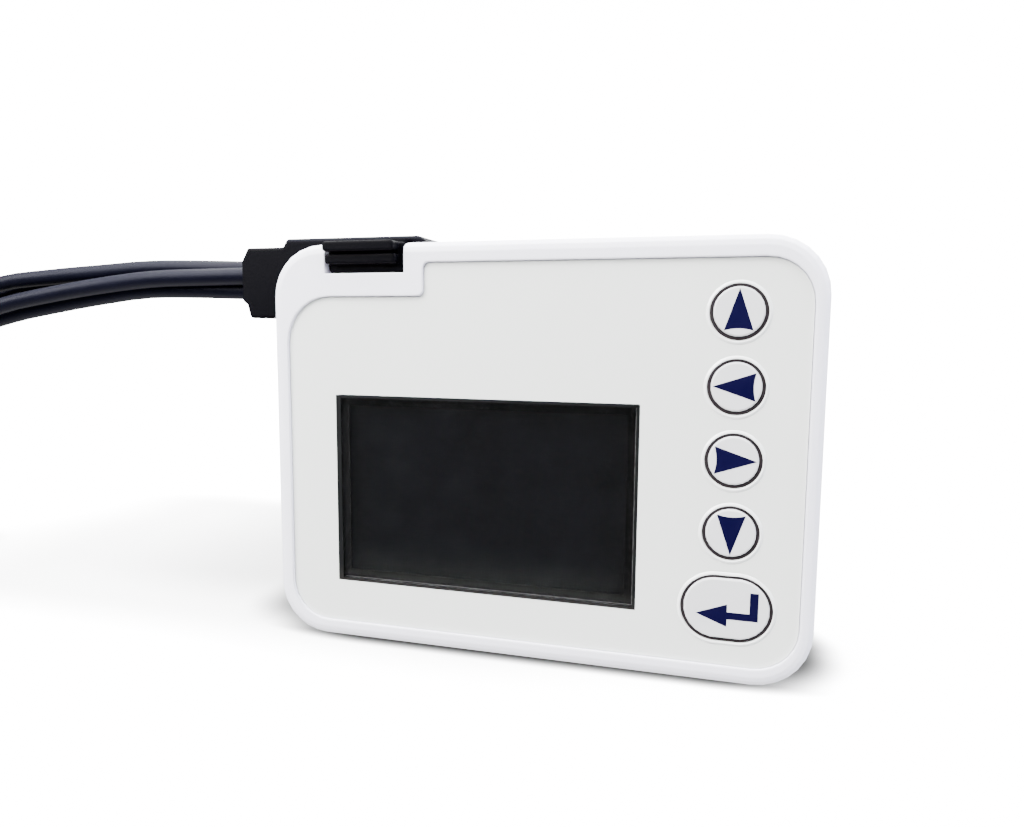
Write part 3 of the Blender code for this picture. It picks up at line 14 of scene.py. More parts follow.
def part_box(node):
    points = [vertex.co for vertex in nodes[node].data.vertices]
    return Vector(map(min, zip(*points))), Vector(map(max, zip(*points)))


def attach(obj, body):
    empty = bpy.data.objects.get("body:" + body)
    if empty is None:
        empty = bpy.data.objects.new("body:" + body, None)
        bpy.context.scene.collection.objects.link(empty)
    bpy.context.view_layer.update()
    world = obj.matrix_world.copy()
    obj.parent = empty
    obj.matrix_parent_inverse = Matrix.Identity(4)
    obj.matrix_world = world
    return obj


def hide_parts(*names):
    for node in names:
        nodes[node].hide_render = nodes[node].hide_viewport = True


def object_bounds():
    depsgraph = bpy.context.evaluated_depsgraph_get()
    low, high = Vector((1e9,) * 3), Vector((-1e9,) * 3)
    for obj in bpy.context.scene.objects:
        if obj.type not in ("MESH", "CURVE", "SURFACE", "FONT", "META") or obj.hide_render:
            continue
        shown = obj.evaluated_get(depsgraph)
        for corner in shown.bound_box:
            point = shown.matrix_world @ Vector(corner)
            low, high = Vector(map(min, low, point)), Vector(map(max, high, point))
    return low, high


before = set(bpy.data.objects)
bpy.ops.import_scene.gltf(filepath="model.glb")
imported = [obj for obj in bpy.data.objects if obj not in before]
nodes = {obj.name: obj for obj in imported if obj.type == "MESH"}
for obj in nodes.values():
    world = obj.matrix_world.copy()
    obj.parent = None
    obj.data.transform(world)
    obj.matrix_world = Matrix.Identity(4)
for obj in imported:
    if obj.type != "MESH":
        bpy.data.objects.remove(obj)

low_corner, high_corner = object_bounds()
cad_box = [list(low_corner), list(high_corner)]
print("nodes", len(nodes), "box", [[round(x, 4) for x in corner] for corner in cad_box])

# %% [markdown]
# ## Camera
# The picture was taken from close by, a little from the left of the keys and slightly from above. The
# place, the turn and the lens were fitted to the corners of the case, so they are given as numbers.
# The three columns of the turn are where the camera's right, up and back point.
# %% Camera
camera_data = bpy.data.cameras.new("camera")
camera = bpy.data.objects.new("camera", camera_data)
bpy.context.scene.collection.objects.link(camera)
bpy.context.scene.camera = camera
camera_data.lens = 26.81
camera_data.sensor_width = 36.0
camera_data.clip_start = 0.001
camera_right = Vector((0.96307, 0.26916, 0.00725))
camera_up = Vector((-0.03653, 0.10391, 0.99392))
camera_back = Vector((0.26676, -0.95747, 0.10991))
turn = Matrix((camera_right, camera_up, camera_back)).transposed().to_4x4()
camera.matrix_world = Matrix.Translation((0.024205, -0.102131, 0.042738)) @ turn
print("camera", [round(x, 4) for x in camera.location])

# %% [markdown]
# ## Route of the leads
# Five thin leads leave the plug on the left. A real lead is one round length of soft cord, so its curve
# only needs the points that it passes through. The seen stretch follows the picture, and then each lead
# droops to the hank, outside the view. The numbers repeat the routes of the CAD leads.
# %% Points of the seen stretch and of the droop
LEAD_DIAMETER = 0.0025
LEAD_ROUTES = (
    (
        (-0.04185, -0.0047, 0.0501), (-0.0509, -0.0047, 0.0500), (-0.0597, -0.0047, 0.0498),
        (-0.0690, -0.0047, 0.0489), (-0.0786, -0.0048, 0.0476), (-0.0887, -0.0049, 0.0458),
        (-0.0985, -0.0063, 0.0422), (-0.1070, -0.0092, 0.0370), (-0.1145, -0.0128, 0.0310),
        (-0.1200, -0.0151, 0.0259), (-0.1245, -0.0156, 0.0214),
    ),
    (
        (-0.04185, -0.0029, 0.0480), (-0.0524, -0.0027, 0.0483), (-0.0615, -0.0026, 0.0483),
        (-0.0693, -0.0025, 0.0475), (-0.0793, -0.0023, 0.0461), (-0.0895, -0.0023, 0.0443),
        (-0.0988, -0.0031, 0.0414), (-0.1070, -0.0050, 0.0362), (-0.1143, -0.0066, 0.0305),
        (-0.1198, -0.0072, 0.0258), (-0.1245, -0.0072, 0.0214),
    ),
    (
        (-0.04185, -0.0019, 0.0511), (-0.0530, -0.0019, 0.0515), (-0.0620, -0.0020, 0.0516),
        (-0.0712, -0.0022, 0.0511), (-0.0809, -0.0024, 0.0505), (-0.0910, -0.0026, 0.0495),
        (-0.1010, -0.0032, 0.0464), (-0.1095, -0.0040, 0.0410), (-0.1160, -0.0044, 0.0342),
        (-0.1206, -0.0044, 0.0274), (-0.1245, -0.0044, 0.0214),
    ),
    (
        (-0.04185, 0.0008, 0.0502), (-0.0550, 0.0007, 0.0503), (-0.0643, 0.0006, 0.0503),
        (-0.0738, 0.0004, 0.0499), (-0.0836, 0.0001, 0.0492), (-0.0930, 0.0001, 0.0476),
        (-0.1020, 0.0006, 0.0436), (-0.1098, 0.0010, 0.0380), (-0.1158, 0.0012, 0.0318),
        (-0.1204, 0.0012, 0.0263), (-0.1245, 0.0012, 0.0214),
    ),
    (
        (-0.04185, 0.0034, 0.0489), (-0.0571, 0.0033, 0.0489), (-0.0665, 0.0031, 0.0488),
        (-0.0762, 0.0028, 0.0482), (-0.0863, 0.0029, 0.0470), (-0.0958, 0.0036, 0.0456),
        (-0.1025, 0.0048, 0.0433), (-0.1100, 0.0070, 0.0379), (-0.1166, 0.0088, 0.0311),
        (-0.1245, 0.0096, 0.0214),
    ),
)


def smooth_line(points, step=0.0028):
    """Closely spaced points on a smooth curve through the given ones."""
    ends = [points[0] * 2 - points[1], *points, points[-1] * 2 - points[-2]]
    line = []
    for a, b, c, d in zip(ends, ends[1:], ends[2:], ends[3:]):
        count = max(2, int((c - b).length / step))
        for index in range(count):
            t = index / count
            bend = (2 * a - 5 * b + 4 * c - d) * t ** 2 + (3 * b - a - 3 * c + d) * t ** 3
            line.append((2 * b + (c - a) * t + bend) / 2)
    return [*line, points[-1]]


def ease(share):
    share = min(1.0, max(0.0, share))
    return share * share * (3 - 2 * share)


# %% [markdown]
# ## Winding the hank
# The picture shows only the first stretch, so the rest is put away as a hank. Each lead has a slot of
# its own, two strands wide. It comes down on the outside of the first lane, makes an outer loop and an
# inner one, steps over to the second lane, makes an inner loop there and comes out on top again. So both
# of its ends are on the outside, and no lead crosses another. The loops stand upright, like those of a
# tied cable. Places along the hank are in X, lanes are in Y.
# %% Lanes and loops of the hank
OUTER_LOOP, INNER_LOOP = 0.0088, 0.0062
LOOP_HEIGHT = 0.0101
NEAR_END, FAR_END = -0.1261, -0.1699
HANK_MIDDLE_Y = -0.0030
LANE_STARTS = (-0.0126, -0.0042, -0.0014, 0.0042, 0.0126)
LANE_ENDS = (-0.0098, -0.0070, 0.0014, 0.0070, 0.0098)
TIE_X, TIE_REACH = -0.1480, 0.0070
PRESS_SIDEWAYS, PRESS_HEIGHT, PRESS_FROM, PRESS_TOP = 0.06, 0.00085, 0.0060, 0.0215
RUN_STEP = 0.001
TOP, BASE = LOOP_HEIGHT + OUTER_LOOP, LOOP_HEIGHT - OUTER_LOOP
INNER_TOP, INNER_BASE = LOOP_HEIGHT + INNER_LOOP, LOOP_HEIGHT - INNER_LOOP


def run(line, start, end):
    """A stretch along the hank, which may drift sideways or in height as it goes."""
    count = max(2, int(abs(end[0] - start[0]) / RUN_STEP))
    for index in range(count):
        share = index / count
        soft = ease(share)
        line.append(Vector((
            start[0] + (end[0] - start[0]) * share,
            start[1] + (end[1] - start[1]) * soft,
            start[2] + (end[2] - start[2]) * soft,
        )))


def loop(line, centre, side, lane, first, last, angle=math.pi, steps=24):
    """Half a turn round one end of the hank, from the radius first to the radius last. side is -1 at the
    far end, going down, and 1 at the near end, going up."""
    for index in range(steps):
        swing = angle * index / steps
        radius = first + (last - first) * ease(index / steps)
        x = centre + side * radius * math.sin(swing)
        line.append(Vector((x, lane, LOOP_HEIGHT - side * radius * math.cos(swing))))


def squeeze(point):
    """The tie presses the strands a little closer together."""
    if point.z > PRESS_TOP:
        return point
    press = math.exp(-(((point.x - TIE_X) / TIE_REACH) ** 4))
    away = point.z - LOOP_HEIGHT
    return Vector((
        point.x,
        HANK_MIDDLE_Y + (point.y - HANK_MIDDLE_Y) * (1 - PRESS_SIDEWAYS * press),
        point.z - PRESS_HEIGHT * press * math.copysign(min(1.0, abs(away) / PRESS_FROM), away),
    ))


# %% [markdown]
# The end of each lead rises off the top of the hank into the tail of its snap connector. Two of them
# leave straight from the near loops, and three run along the top first.
# %% The whole line of each lead
SNAP_TAIL_ENDS = (
    (-0.1565, -0.0070), (-0.1290, -0.0070), (-0.1430, 0.0007), (-0.1290, 0.0080), (-0.1565, 0.0080),
)
TAIL_HEIGHT = 0.0227
LANDING_SLOPE, LEAVING_ANGLE = math.radians(45), math.radians(118)
LEAVING_BEND, LIFT_LENGTH = 0.0062, 0.0115
LANDING_STEPS, LEAVING_STEPS, RISE_STEPS, BEND_STEPS = 9, 17, 6, 8
STEP_ON = Vector((0.0001, 0, 0))


def landing(line, lane):
    """Turns the slope at the end of the droop into the top lane, and returns where it is level."""
    radius = (line[-1].z - TOP) / (1 - math.cos(LANDING_SLOPE))
    level = line[-1].x - radius * math.sin(LANDING_SLOPE)
    for index in range(1, LANDING_STEPS):
        swing = LANDING_SLOPE * (1 - index / LANDING_STEPS)
        height = TOP + radius * (1 - math.cos(swing))
        line.append(Vector((level + radius * math.sin(swing), lane, height)))
    return level


def leave_from_loop(line, lane, tail):
    """Leaves the near loop on its way up, and levels out at the height of the snap's tail."""
    loop(line, NEAR_END, 1, lane, OUTER_LOOP, OUTER_LOOP, LEAVING_ANGLE, LEAVING_STEPS)
    slope = math.pi - LEAVING_ANGLE
    foot = Vector((
        NEAR_END + OUTER_LOOP * math.sin(LEAVING_ANGLE), lane,
        LOOP_HEIGHT - OUTER_LOOP * math.cos(LEAVING_ANGLE),
    ))
    rise = (TAIL_HEIGHT - foot.z - LEAVING_BEND * (1 - math.cos(slope))) / math.sin(slope)
    heading = Vector((-math.cos(slope), 0.0, math.sin(slope)))
    line += [foot + heading * (rise * index / RISE_STEPS) for index in range(RISE_STEPS + 1)]
    level = line[-1].x - LEAVING_BEND * math.sin(slope)
    first = len(line)
    for index in range(1, BEND_STEPS + 1):
        swing = slope * (1 - index / BEND_STEPS)
        height = TAIL_HEIGHT - LEAVING_BEND * (1 - math.cos(swing))
        line.append(Vector((level + LEAVING_BEND * math.sin(swing), lane, height)))
    run(line, line[-1] - STEP_ON, (tail[0], lane, TAIL_HEIGHT))
    line.append(Vector((tail[0], lane, TAIL_HEIGHT)))
    for index in range(first, len(line)):
        line[index].y += (tail[1] - lane) * ease((index - first) / (len(line) - 1 - first))


def leave_from_top(line, lane, tail):
    """Goes round the near loop, along the top lane, and rises to the snap's tail."""
    loop(line, NEAR_END, 1, lane, OUTER_LOOP, OUTER_LOOP)
    lift = tail[0] + LIFT_LENGTH
    run(line, (NEAR_END, lane, TOP), (lift, lane, TOP))
    run(line, (lift, lane, TOP), (*tail, TAIL_HEIGHT))
    line.append(Vector((*tail, TAIL_HEIGHT)))


def lead_line(index):
    """The whole line of one lead, from the plug through the hank to its snap."""
    start, end = LANE_STARTS[index] + HANK_MIDDLE_Y, LANE_ENDS[index] + HANK_MIDDLE_Y
    tail = (SNAP_TAIL_ENDS[index][0], SNAP_TAIL_ENDS[index][1] + HANK_MIDDLE_Y)
    line = smooth_line([Vector(place) for place in LEAD_ROUTES[index]])
    level = landing(line, start)
    run(line, (level, start, TOP), (FAR_END, start, TOP))
    loop(line, FAR_END, -1, start, OUTER_LOOP, OUTER_LOOP)
    run(line, (FAR_END, start, BASE), (NEAR_END, start, BASE))
    loop(line, NEAR_END, 1, start, OUTER_LOOP, INNER_LOOP)
    run(line, (NEAR_END, start, INNER_TOP), (FAR_END, start, INNER_TOP))
    loop(line, FAR_END, -1, start, INNER_LOOP, INNER_LOOP)
    run(line, (FAR_END, start, INNER_BASE), (TIE_X, start, INNER_BASE))
    run(line, (TIE_X, start, INNER_BASE), (NEAR_END, end, INNER_BASE))
    loop(line, NEAR_END, 1, end, INNER_LOOP, INNER_LOOP)
    run(line, (NEAR_END, end, INNER_TOP), (FAR_END, end, INNER_TOP))
    loop(line, FAR_END, -1, end, INNER_LOOP, OUTER_LOOP)
    run(line, (FAR_END, end, BASE), (NEAR_END, end, BASE))
    leave = leave_from_loop if index in (1, 3) else leave_from_top
    leave(line, end, tail)
    return [squeeze(point) for point in line]


lead_lines = [lead_line(index) for index in range(5)]

# %% [markdown]
# ## The five leads
# Each lead is a curve object with a round section: one open line of points, so the lead keeps one
# thickness and a true length. It stands for the CAD lead, which only has the stretch up to the hank, and
# the last of them also stands for the block that holds the hank's place.
# %% Make the leads
LEAD_NODES = tuple("lead_%d" % (index + 1) for index in range(5))
SNAP_NODES = tuple("electrode_snap_%d" % (index + 1) for index in range(5))


def lay_lead(name, line):
    """A round cord along the points, as one open line."""
    curve = bpy.data.curves.new(name, "CURVE")
    curve.dimensions = "3D"
    curve.bevel_depth = LEAD_DIAMETER / 2
    curve.bevel_resolution = 4
    spline = curve.splines.new("POLY")
    spline.points.add(len(line) - 1)
    for point, place in zip(spline.points, line):
        point.co = (*place, 1)
    spline.use_smooth = True
    lead = bpy.data.objects.new(name, curve)
    bpy.context.scene.collection.objects.link(lead)
    return lead


leads = [lay_lead("cord_" + node, line) for node, line in zip(LEAD_NODES, lead_lines)]
print("points in each lead", [len(line) for line in lead_lines])

# %% [markdown]
# ## Floor, backdrop and light
# The picture has a white ground that runs into a white wall, with a soft shadow under the recorder. One
# sheet is enough for both: a round floor whose rim turns up in a wide curve, so it is white from every
# side. A large soft lamp above makes the ground and the top of the case bright, and weaker ones in
# front, on the right and behind light the sides. The sheet is hidden from mirror and bounce rays, so
# that the black window stays black above the white ground.
# %% Floor and backdrop
floor_height = cad_box[0][2]
FLOOR_RADIUS, SWEEP_RADIUS, WALL_HEIGHT = 0.95, 0.35, 1.2


def studio_bowl():
    """The section of the ground, spun round the upright axis."""
    shape = bmesh.new()
    middle = shape.verts.new((0, 0, floor_height))
    rim = shape.verts.new((FLOOR_RADIUS, 0, floor_height))
    shape.edges.new((middle, rim))
    curve = bmesh.ops.spin(
        shape, geom=[rim], cent=(FLOOR_RADIUS, 0, floor_height + SWEEP_RADIUS), axis=(0, -1, 0),
        angle=math.radians(90), steps=16,
    )
    top = [item for item in curve["geom_last"] if isinstance(item, bmesh.types.BMVert)]
    wall = bmesh.ops.extrude_vert_indiv(shape, verts=top)
    bmesh.ops.translate(shape, verts=wall["verts"], vec=(0, 0, WALL_HEIGHT))
    bmesh.ops.spin(
        shape, geom=shape.verts[:] + shape.edges[:], cent=(0, 0, 0), axis=(0, 0, 1),
        angle=2 * math.pi, steps=96, use_merge=True,
    )
    bmesh.ops.remove_doubles(shape, verts=shape.verts[:], dist=0.0001)
    bmesh.ops.recalc_face_normals(shape, faces=shape.faces[:])
    bmesh.ops.reverse_faces(shape, faces=shape.faces[:])
    return shape


def keep_piece(name, shape, smooth=True):
    """Turns the worked shape into a finished piece in the scene."""
    mesh = bpy.data.meshes.new(name)
    shape.to_mesh(mesh)
    shape.free()
    piece = bpy.data.objects.new(name, mesh)
    bpy.context.scene.collection.objects.link(piece)
    if smooth:
        mesh.shade_smooth()
    return piece


floor = keep_piece("studio_floor", studio_bowl())
floor.visible_glossy = False
floor.visible_diffuse = False
floor.visible_transmission = False
floor.visible_shadow = False
print("floor height", floor_height)

# %% Lamps
def hang_lamp(name, place, aim, size, power, colour=(1.0, 1.0, 1.0)):
    data = bpy.data.lights.new(name, "AREA")
    data.shape = "RECTANGLE"
    data.size, data.size_y = size
    data.energy = power
    data.color = colour
    lamp = bpy.data.objects.new(name, data)
    bpy.context.scene.collection.objects.link(lamp)
    lamp.location = place
    lamp.rotation_euler = (Vector(aim) - Vector(place)).to_track_quat("-Z", "Y").to_euler()


hang_lamp("lamp_above", (0.0, 0.05, 0.70), (0.0, 0.0, 0.02), (1.3, 1.1), 62.0)
hang_lamp("lamp_front_left", (-0.32, -0.29, 0.33), (-0.02, 0.0, 0.03), (0.4, 0.4), 13.5)
hang_lamp("lamp_right", (0.75, -0.10, 0.25), (0.0, 0.0, 0.03), (0.4, 0.4), 13.0, (0.82, 0.85, 1.0))
hang_lamp("lamp_behind", (0.20, 0.70, 0.45), (0.0, 0.0, 0.03), (0.6, 0.5), 10.0)

# %% [markdown]
# ## Finishes
# Every finish starts from the same shader, with its plain values on the shader's own sockets. Real
# moulded plastic is never quite even, so a helper adds three things that follow the object: a fine grain
# as bump, slow patches of gloss, and a slight drift of colour. Others mix in a second colour, as a soft
# change along an axis or as stripes.
# %% Base of a finish
def make_finish(name, colour, roughness, **values):
    """A new material. Extra values go straight on the shader's sockets of the same name."""
    finish = bpy.data.materials.new(name)
    finish.use_nodes = True
    shader = finish.node_tree.nodes["Principled BSDF"]
    shader.inputs["Base Color"].default_value = (*colour, 1)
    shader.inputs["Roughness"].default_value = roughness
    for key, value in values.items():
        shader.inputs[key.replace("_", " ").title().replace("Ior", "IOR")].default_value = value
    return finish


def add_node(finish, kind, **values):
    """Adds a node and sets its inputs by name, or its own settings where it has no such input."""
    node = finish.node_tree.nodes.new("ShaderNode" + kind)
    for key, value in values.items():
        label = key.replace("_", " ").title()
        if label in node.inputs:
            node.inputs[label].default_value = value
        else:
            setattr(node, key, value)
    return node


def join(finish, *ends):
    """Links sockets in pairs, from the first of each pair to the second."""
    for start, end in zip(ends[::2], ends[1::2]):
        finish.node_tree.links.new(start, end)


def object_axis(finish, axis):
    """The place along one axis of the object, as a socket."""
    place, split = add_node(finish, "TexCoord"), add_node(finish, "SeparateXYZ")
    join(finish, place.outputs["Object"], split.inputs[0])
    return split.outputs[axis]


def map_range(finish, source, *limits, soft=False):
    """Maps a socket from the first two limits to the last two, and returns the result."""
    node = add_node(finish, "MapRange")
    if soft:
        node.interpolation_type = "SMOOTHSTEP"
    for socket, value in zip(node.inputs[1:5], limits):
        socket.default_value = value
    join(finish, source, node.inputs[0])
    return node.outputs[0]


def add_grain(finish, grain_size, grain_depth, rough_range, tint, tint_size=0.02, edge=0.0):
    """Fine bump, patches of gloss and a slight drift of colour, all on Object coordinates. edge is the
    radius over which sharp edges are shaded as if they were rounded."""
    shader = finish.node_tree.nodes["Principled BSDF"]
    colour = shader.inputs["Base Color"].default_value[:]
    place = add_node(finish, "TexCoord")
    fine = add_node(finish, "TexNoise", scale=1 / grain_size, detail=3.0, roughness=0.6)
    bump = add_node(finish, "Bump", strength=1.0, distance=grain_depth)
    patches = add_node(finish, "TexNoise", scale=1 / tint_size, detail=4.0, roughness=0.55)
    gloss = map_range(finish, patches.outputs[0], 0.3, 0.7, *rough_range)
    drift = add_node(finish, "ValToRGB")
    drift.color_ramp.elements[0].position, drift.color_ramp.elements[1].position = 0.3, 0.7
    drift.color_ramp.elements[0].color = (*(max(0, a * (1 - b)) for a, b in zip(colour, tint)), 1)
    drift.color_ramp.elements[1].color = colour
    join(
        finish,
        place.outputs["Object"], fine.inputs["Vector"], fine.outputs[0], bump.inputs["Height"],
        bump.outputs[0], shader.inputs["Normal"], place.outputs["Object"], patches.inputs["Vector"],
        gloss, shader.inputs["Roughness"],
        patches.outputs[0], drift.inputs[0], drift.outputs[0], shader.inputs["Base Color"],
    )
    if edge:
        soft_edge = add_node(finish, "Bevel", samples=6, radius=edge)
        join(finish, soft_edge.outputs[0], bump.inputs["Normal"])


def mix_in(finish, mask, colour):
    """Mixes another colour into the finish where the mask is 1."""
    shader = finish.node_tree.nodes["Principled BSDF"]
    old = shader.inputs["Base Color"].links[0].from_socket
    mix = add_node(finish, "Mix", data_type="RGBA")
    mix.inputs[7].default_value = (*colour, 1)
    join(finish, mask, mix.inputs[0], old, mix.inputs[6], mix.outputs[2], shader.inputs["Base Color"])


def add_fade(finish, axis, full, none, colour):
    """Mixes another colour in along an axis: wholly up to the place full, and not at all past none."""
    share = map_range(finish, object_axis(finish, axis), full, none, 1.0, 0.0, soft=True)
    mix_in(finish, share, colour)


def add_stripes(finish, axis, pitch, share, colour):
    """Stripes of another colour across the given axis. share is how much of the pitch each takes."""
    count = add_node(finish, "Math", operation="MULTIPLY")
    count.inputs[1].default_value = 1 / pitch
    saw = add_node(finish, "Math", operation="FRACT")
    mask = add_node(finish, "Math", operation="LESS_THAN")
    mask.inputs[1].default_value = share
    join(
        finish, object_axis(finish, axis), count.inputs[0], count.outputs[0], saw.inputs[0],
        saw.outputs[0], mask.inputs[0],
    )
    mix_in(finish, mask.outputs[0], colour)


def dress(finish, *names):
    """Puts the finish on CAD parts or on pieces of this scene."""
    for name in names:
        thing = nodes[name] if name in nodes else bpy.data.objects[name]
        if thing.material_slots:
            for slot in thing.material_slots:
                slot.material = finish
        else:
            thing.data.materials.append(finish)


# %% [markdown]
# ### Sky
# The sky only lights the object and shows in its glossy parts. It is bright above and below, and dark in
# a broad band round the horizon, so that black parts keep dark sides. A picture of a studio would do
# too, but a few tones over the height are enough for a plain white one.
# %% Sky
world = bpy.data.worlds.new("studio")
bpy.context.scene.world = world
world.use_nodes = True
background = world.node_tree.nodes["Background"]
background.inputs["Strength"].default_value = 4.0
sky_place, sky_split = add_node(world, "TexCoord"), add_node(world, "SeparateXYZ")
sky_bands = add_node(world, "ValToRGB")
sky_bands.color_ramp.interpolation = "EASE"
sky_bands.color_ramp.elements[0].color = (1.0, 1.0, 1.0, 1)
sky_bands.color_ramp.elements[1].color = (0.50, 0.52, 0.55, 1)
for height in (0.34, 0.66):
    sky_bands.color_ramp.elements.new(height).color = (0.03, 0.031, 0.033, 1)
join(
    world, sky_place.outputs["Generated"], sky_split.inputs[0],
    map_range(world, sky_split.outputs["Z"], -1.0, 1.0, 0.0, 1.0), sky_bands.inputs[0],
    sky_bands.outputs[0], background.inputs["Color"],
)

# %% [markdown]
# ### White ground
# The ground is matt white paper that also glows, so that it is plain white up to the wall. Where a thing
# stands on it or hangs above it, the paper is shaded. The lamps could cast these shades, but soft patches
# can be set to the picture one by one. Each is darkest inside a rectangle on the paper and fades out over
# a given reach, and the patches are multiplied.
# %% Ground
ground = make_finish("white_ground", (0.92, 0.92, 0.93), 0.9, specular_ior_level=0.0)
ground_shader = ground.node_tree.nodes["Principled BSDF"]
ground_shader.inputs["Emission Color"].default_value = (1, 1, 1, 1)
ground_place = add_node(ground, "TexCoord")
ground_away = add_node(ground, "VectorMath", operation="LENGTH")
join(ground, ground_place.outputs["Object"], ground_away.inputs[0])
ground_glow = map_range(ground, ground_away.outputs["Value"], 0.12, 0.55, 8.0, 15.0, soft=True)
# Each row: the middle, half the size of the dark part, how far it fades, and its tone.
GROUND_SHADES = (
    ((0.0004, 0.0008), (0.0222, 0.0094), (0.0169, 0.0034), 0.0105),
    ((-0.0317, 0.0060), (0.0021, 0.0044), (0.0140, 0.0123), 0.031),
    ((0.0327, 0.0022), (0.0002, 0.0013), (0.0086, 0.0108), 0.010),
    ((-0.0505, 0.0240), (0.0398, 0.0295), (0.0361, 0.0147), 0.515),
    ((-0.0407, 0.0315), (0.0046, 0.0193), (0.0482, 0.0190), 0.50),
    ((-0.148, -0.003), (0.024, 0.0125), (0.013, 0.011), 0.10),
)


def ground_shade(middle, half, reach, tone):
    """A soft dark patch on the paper, as a number from tone to 1."""
    spot = ground_place.outputs["Object"]
    for operation, amount in (
        ("SUBTRACT", (*middle, 0)), ("ABSOLUTE", (0, 0, 0)), ("SUBTRACT", (*half, 1)),
        ("MAXIMUM", (0, 0, 0)), ("DIVIDE", (*reach, 1)), ("LENGTH", (0, 0, 0)),
    ):
        step = add_node(ground, "VectorMath", operation=operation)
        step.inputs[1].default_value = amount
        join(ground, spot, step.inputs[0])
        spot = step.outputs["Value" if operation == "LENGTH" else "Vector"]
    power = add_node(ground, "Math", operation="POWER")
    power.inputs[0].default_value = tone
    join(ground, map_range(ground, spot, 0.0, 1.0, 1.0, 0.0, soft=True), power.inputs[1])
    return power.outputs[0]


ground_tone = ground_shade(*GROUND_SHADES[0])
for patch in GROUND_SHADES[1:]:
    both = add_node(ground, "Math", operation="MULTIPLY")
    join(ground, ground_tone, both.inputs[0], ground_shade(*patch), both.inputs[1])
    ground_tone = both.outputs[0]
shaded_glow = add_node(ground, "Math", operation="MULTIPLY")
join(
    ground, ground_tone, ground_shader.inputs["Base Color"], ground_tone, shaded_glow.inputs[0],
    ground_glow, shaded_glow.inputs[1],
    shaded_glow.outputs[0], ground_shader.inputs["Emission Strength"],
)
dress(ground, "studio_floor")

# %% [markdown]
# ### White case
# The two halves of the case and the battery door are moulded in white ABS with a satin, faintly bluish
# skin. A very fine grain keeps the highlights soft. A bevel would round the sharp edges, but the imported
# mesh stays as it is, so they are only shaded as if they were round.
# %% Case and door
case_white = make_finish("case_white", (0.87, 0.86, 0.94), 0.42, coat_weight=0.06, coat_roughness=0.30)
add_grain(case_white, 0.00035, 0.000004, (0.38, 0.50), (0.015, 0.015, 0.01), edge=0.0004)
dress(case_white, "front_shell", "rear_shell", "battery_door")

# %% [markdown]
# ### Panel film and keys
# The front panel is a pale film with a slight green-grey cast, a little darker than the case. The keys
# are a softer material and look about the same shade. The film's grain is finer than that of the case,
# and the keys have the finest, so the three can be told apart from close by.
# %% Film and keys
panel_film = make_finish("panel_film", (0.74, 0.755, 0.725), 0.45)
add_grain(panel_film, 0.00025, 0.000003, (0.42, 0.52), (0.02, 0.02, 0.02))
dress(panel_film, "keypad_overlay")
key_cap = make_finish("key_cap", (0.62, 0.62, 0.63), 0.5)
add_grain(key_cap, 0.0002, 0.000003, (0.44, 0.56), (0.02, 0.02, 0.02), 0.004)
KEY_NAMES = ("up", "left", "right", "down", "enter")
dress(key_cap, *("button_" + key for key in KEY_NAMES))

# %% [markdown]
# ### Window and display
# The window is clear acrylic. The display behind it is off, so it shows the dark grey of its polariser.
# It looks lighter low down and along its left side, where it sees the ground and the lamp. Reflections
# could do that, but they change with the room, so the dark finishes get a painted reflection instead:
# they fade to a lighter tone there.
# %% Clear and dark parts
window_low, window_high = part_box("display_window")
# How wide the lighter tone is on the left, and between which heights it fades out lower down.
DISPLAY_LIT_WIDTH, BORDER_LIT_WIDTH = 0.0050, 0.0036
DISPLAY_LIT, BORDER_LIT, PRINT_LIT = (0.0080, 0.0138), (0.0087, 0.0110), (0.0084, 0.0105)
window_clear = make_finish(
    "window_clear", (0.92, 0.92, 0.95), 0.03, transmission_weight=1.0, ior=1.49,
)
dress(window_clear, "display_window")
display_dark = make_finish("display_dark", (0.0028, 0.0028, 0.0040), 0.3, specular_ior_level=0.15)
add_grain(display_dark, 0.0004, 0.000002, (0.28, 0.34), (0.1, 0.1, 0.1), 0.006)
# Painted reflection of the ground and the lamp: lighter on the left and low down.
add_fade(display_dark, "X", window_low.x, window_low.x + DISPLAY_LIT_WIDTH, (0.0066, 0.0070, 0.0070))
add_fade(display_dark, "Z", *DISPLAY_LIT, (0.0175, 0.0180, 0.0155))
dress(display_dark, "lcd_glass")

# %% [markdown]
# ### Black parts
# The plug is a matt black moulding with a fine spark-eroded grain. Its top catches the light from above
# and looks a little lighter. A lamp for it would light the white case too, so the finish carries the
# lighter tone. The leads are softer and have a bluish, greasy shine. The tie is a grey strap with fine
# ribs, which stripes of a darker grey stand for.
# %% Plug, leads and tie
PLUG_TOP_LIT = (0.0547, 0.0541)
plug_black = make_finish("plug_black", (0.0010, 0.0009, 0.0019), 0.58, specular_ior_level=0.03)
add_grain(plug_black, 0.0003, 0.000010, (0.40, 0.58), (0.25, 0.25, 0.2), 0.006, edge=0.00035)
add_fade(plug_black, "Z", *PLUG_TOP_LIT, (0.0062, 0.0064, 0.0098))
dress(plug_black, "plug_housing", "plug_tongue", *SNAP_NODES)
lead_black = make_finish(
    "lead_black", (0.0023, 0.0024, 0.0068), 0.40,
    specular_ior_level=0.050, specular_tint=(0.85, 0.85, 1.0, 1.0),
)
add_grain(lead_black, 0.0006, 0.000006, (0.40, 0.52), (0.3, 0.3, 0.25), 0.010)
dress(lead_black, *(lead.name for lead in leads))
tie_grey = make_finish("tie_grey", (0.022, 0.022, 0.025), 0.8, specular_ior_level=0.1)
add_grain(tie_grey, 0.0005, 0.00004, (0.62, 0.80), (0.3, 0.3, 0.3), 0.003)
add_stripes(tie_grey, "X", 0.0008, 0.45, (0.011, 0.011, 0.013))
dress(tie_grey, "hank_tie")

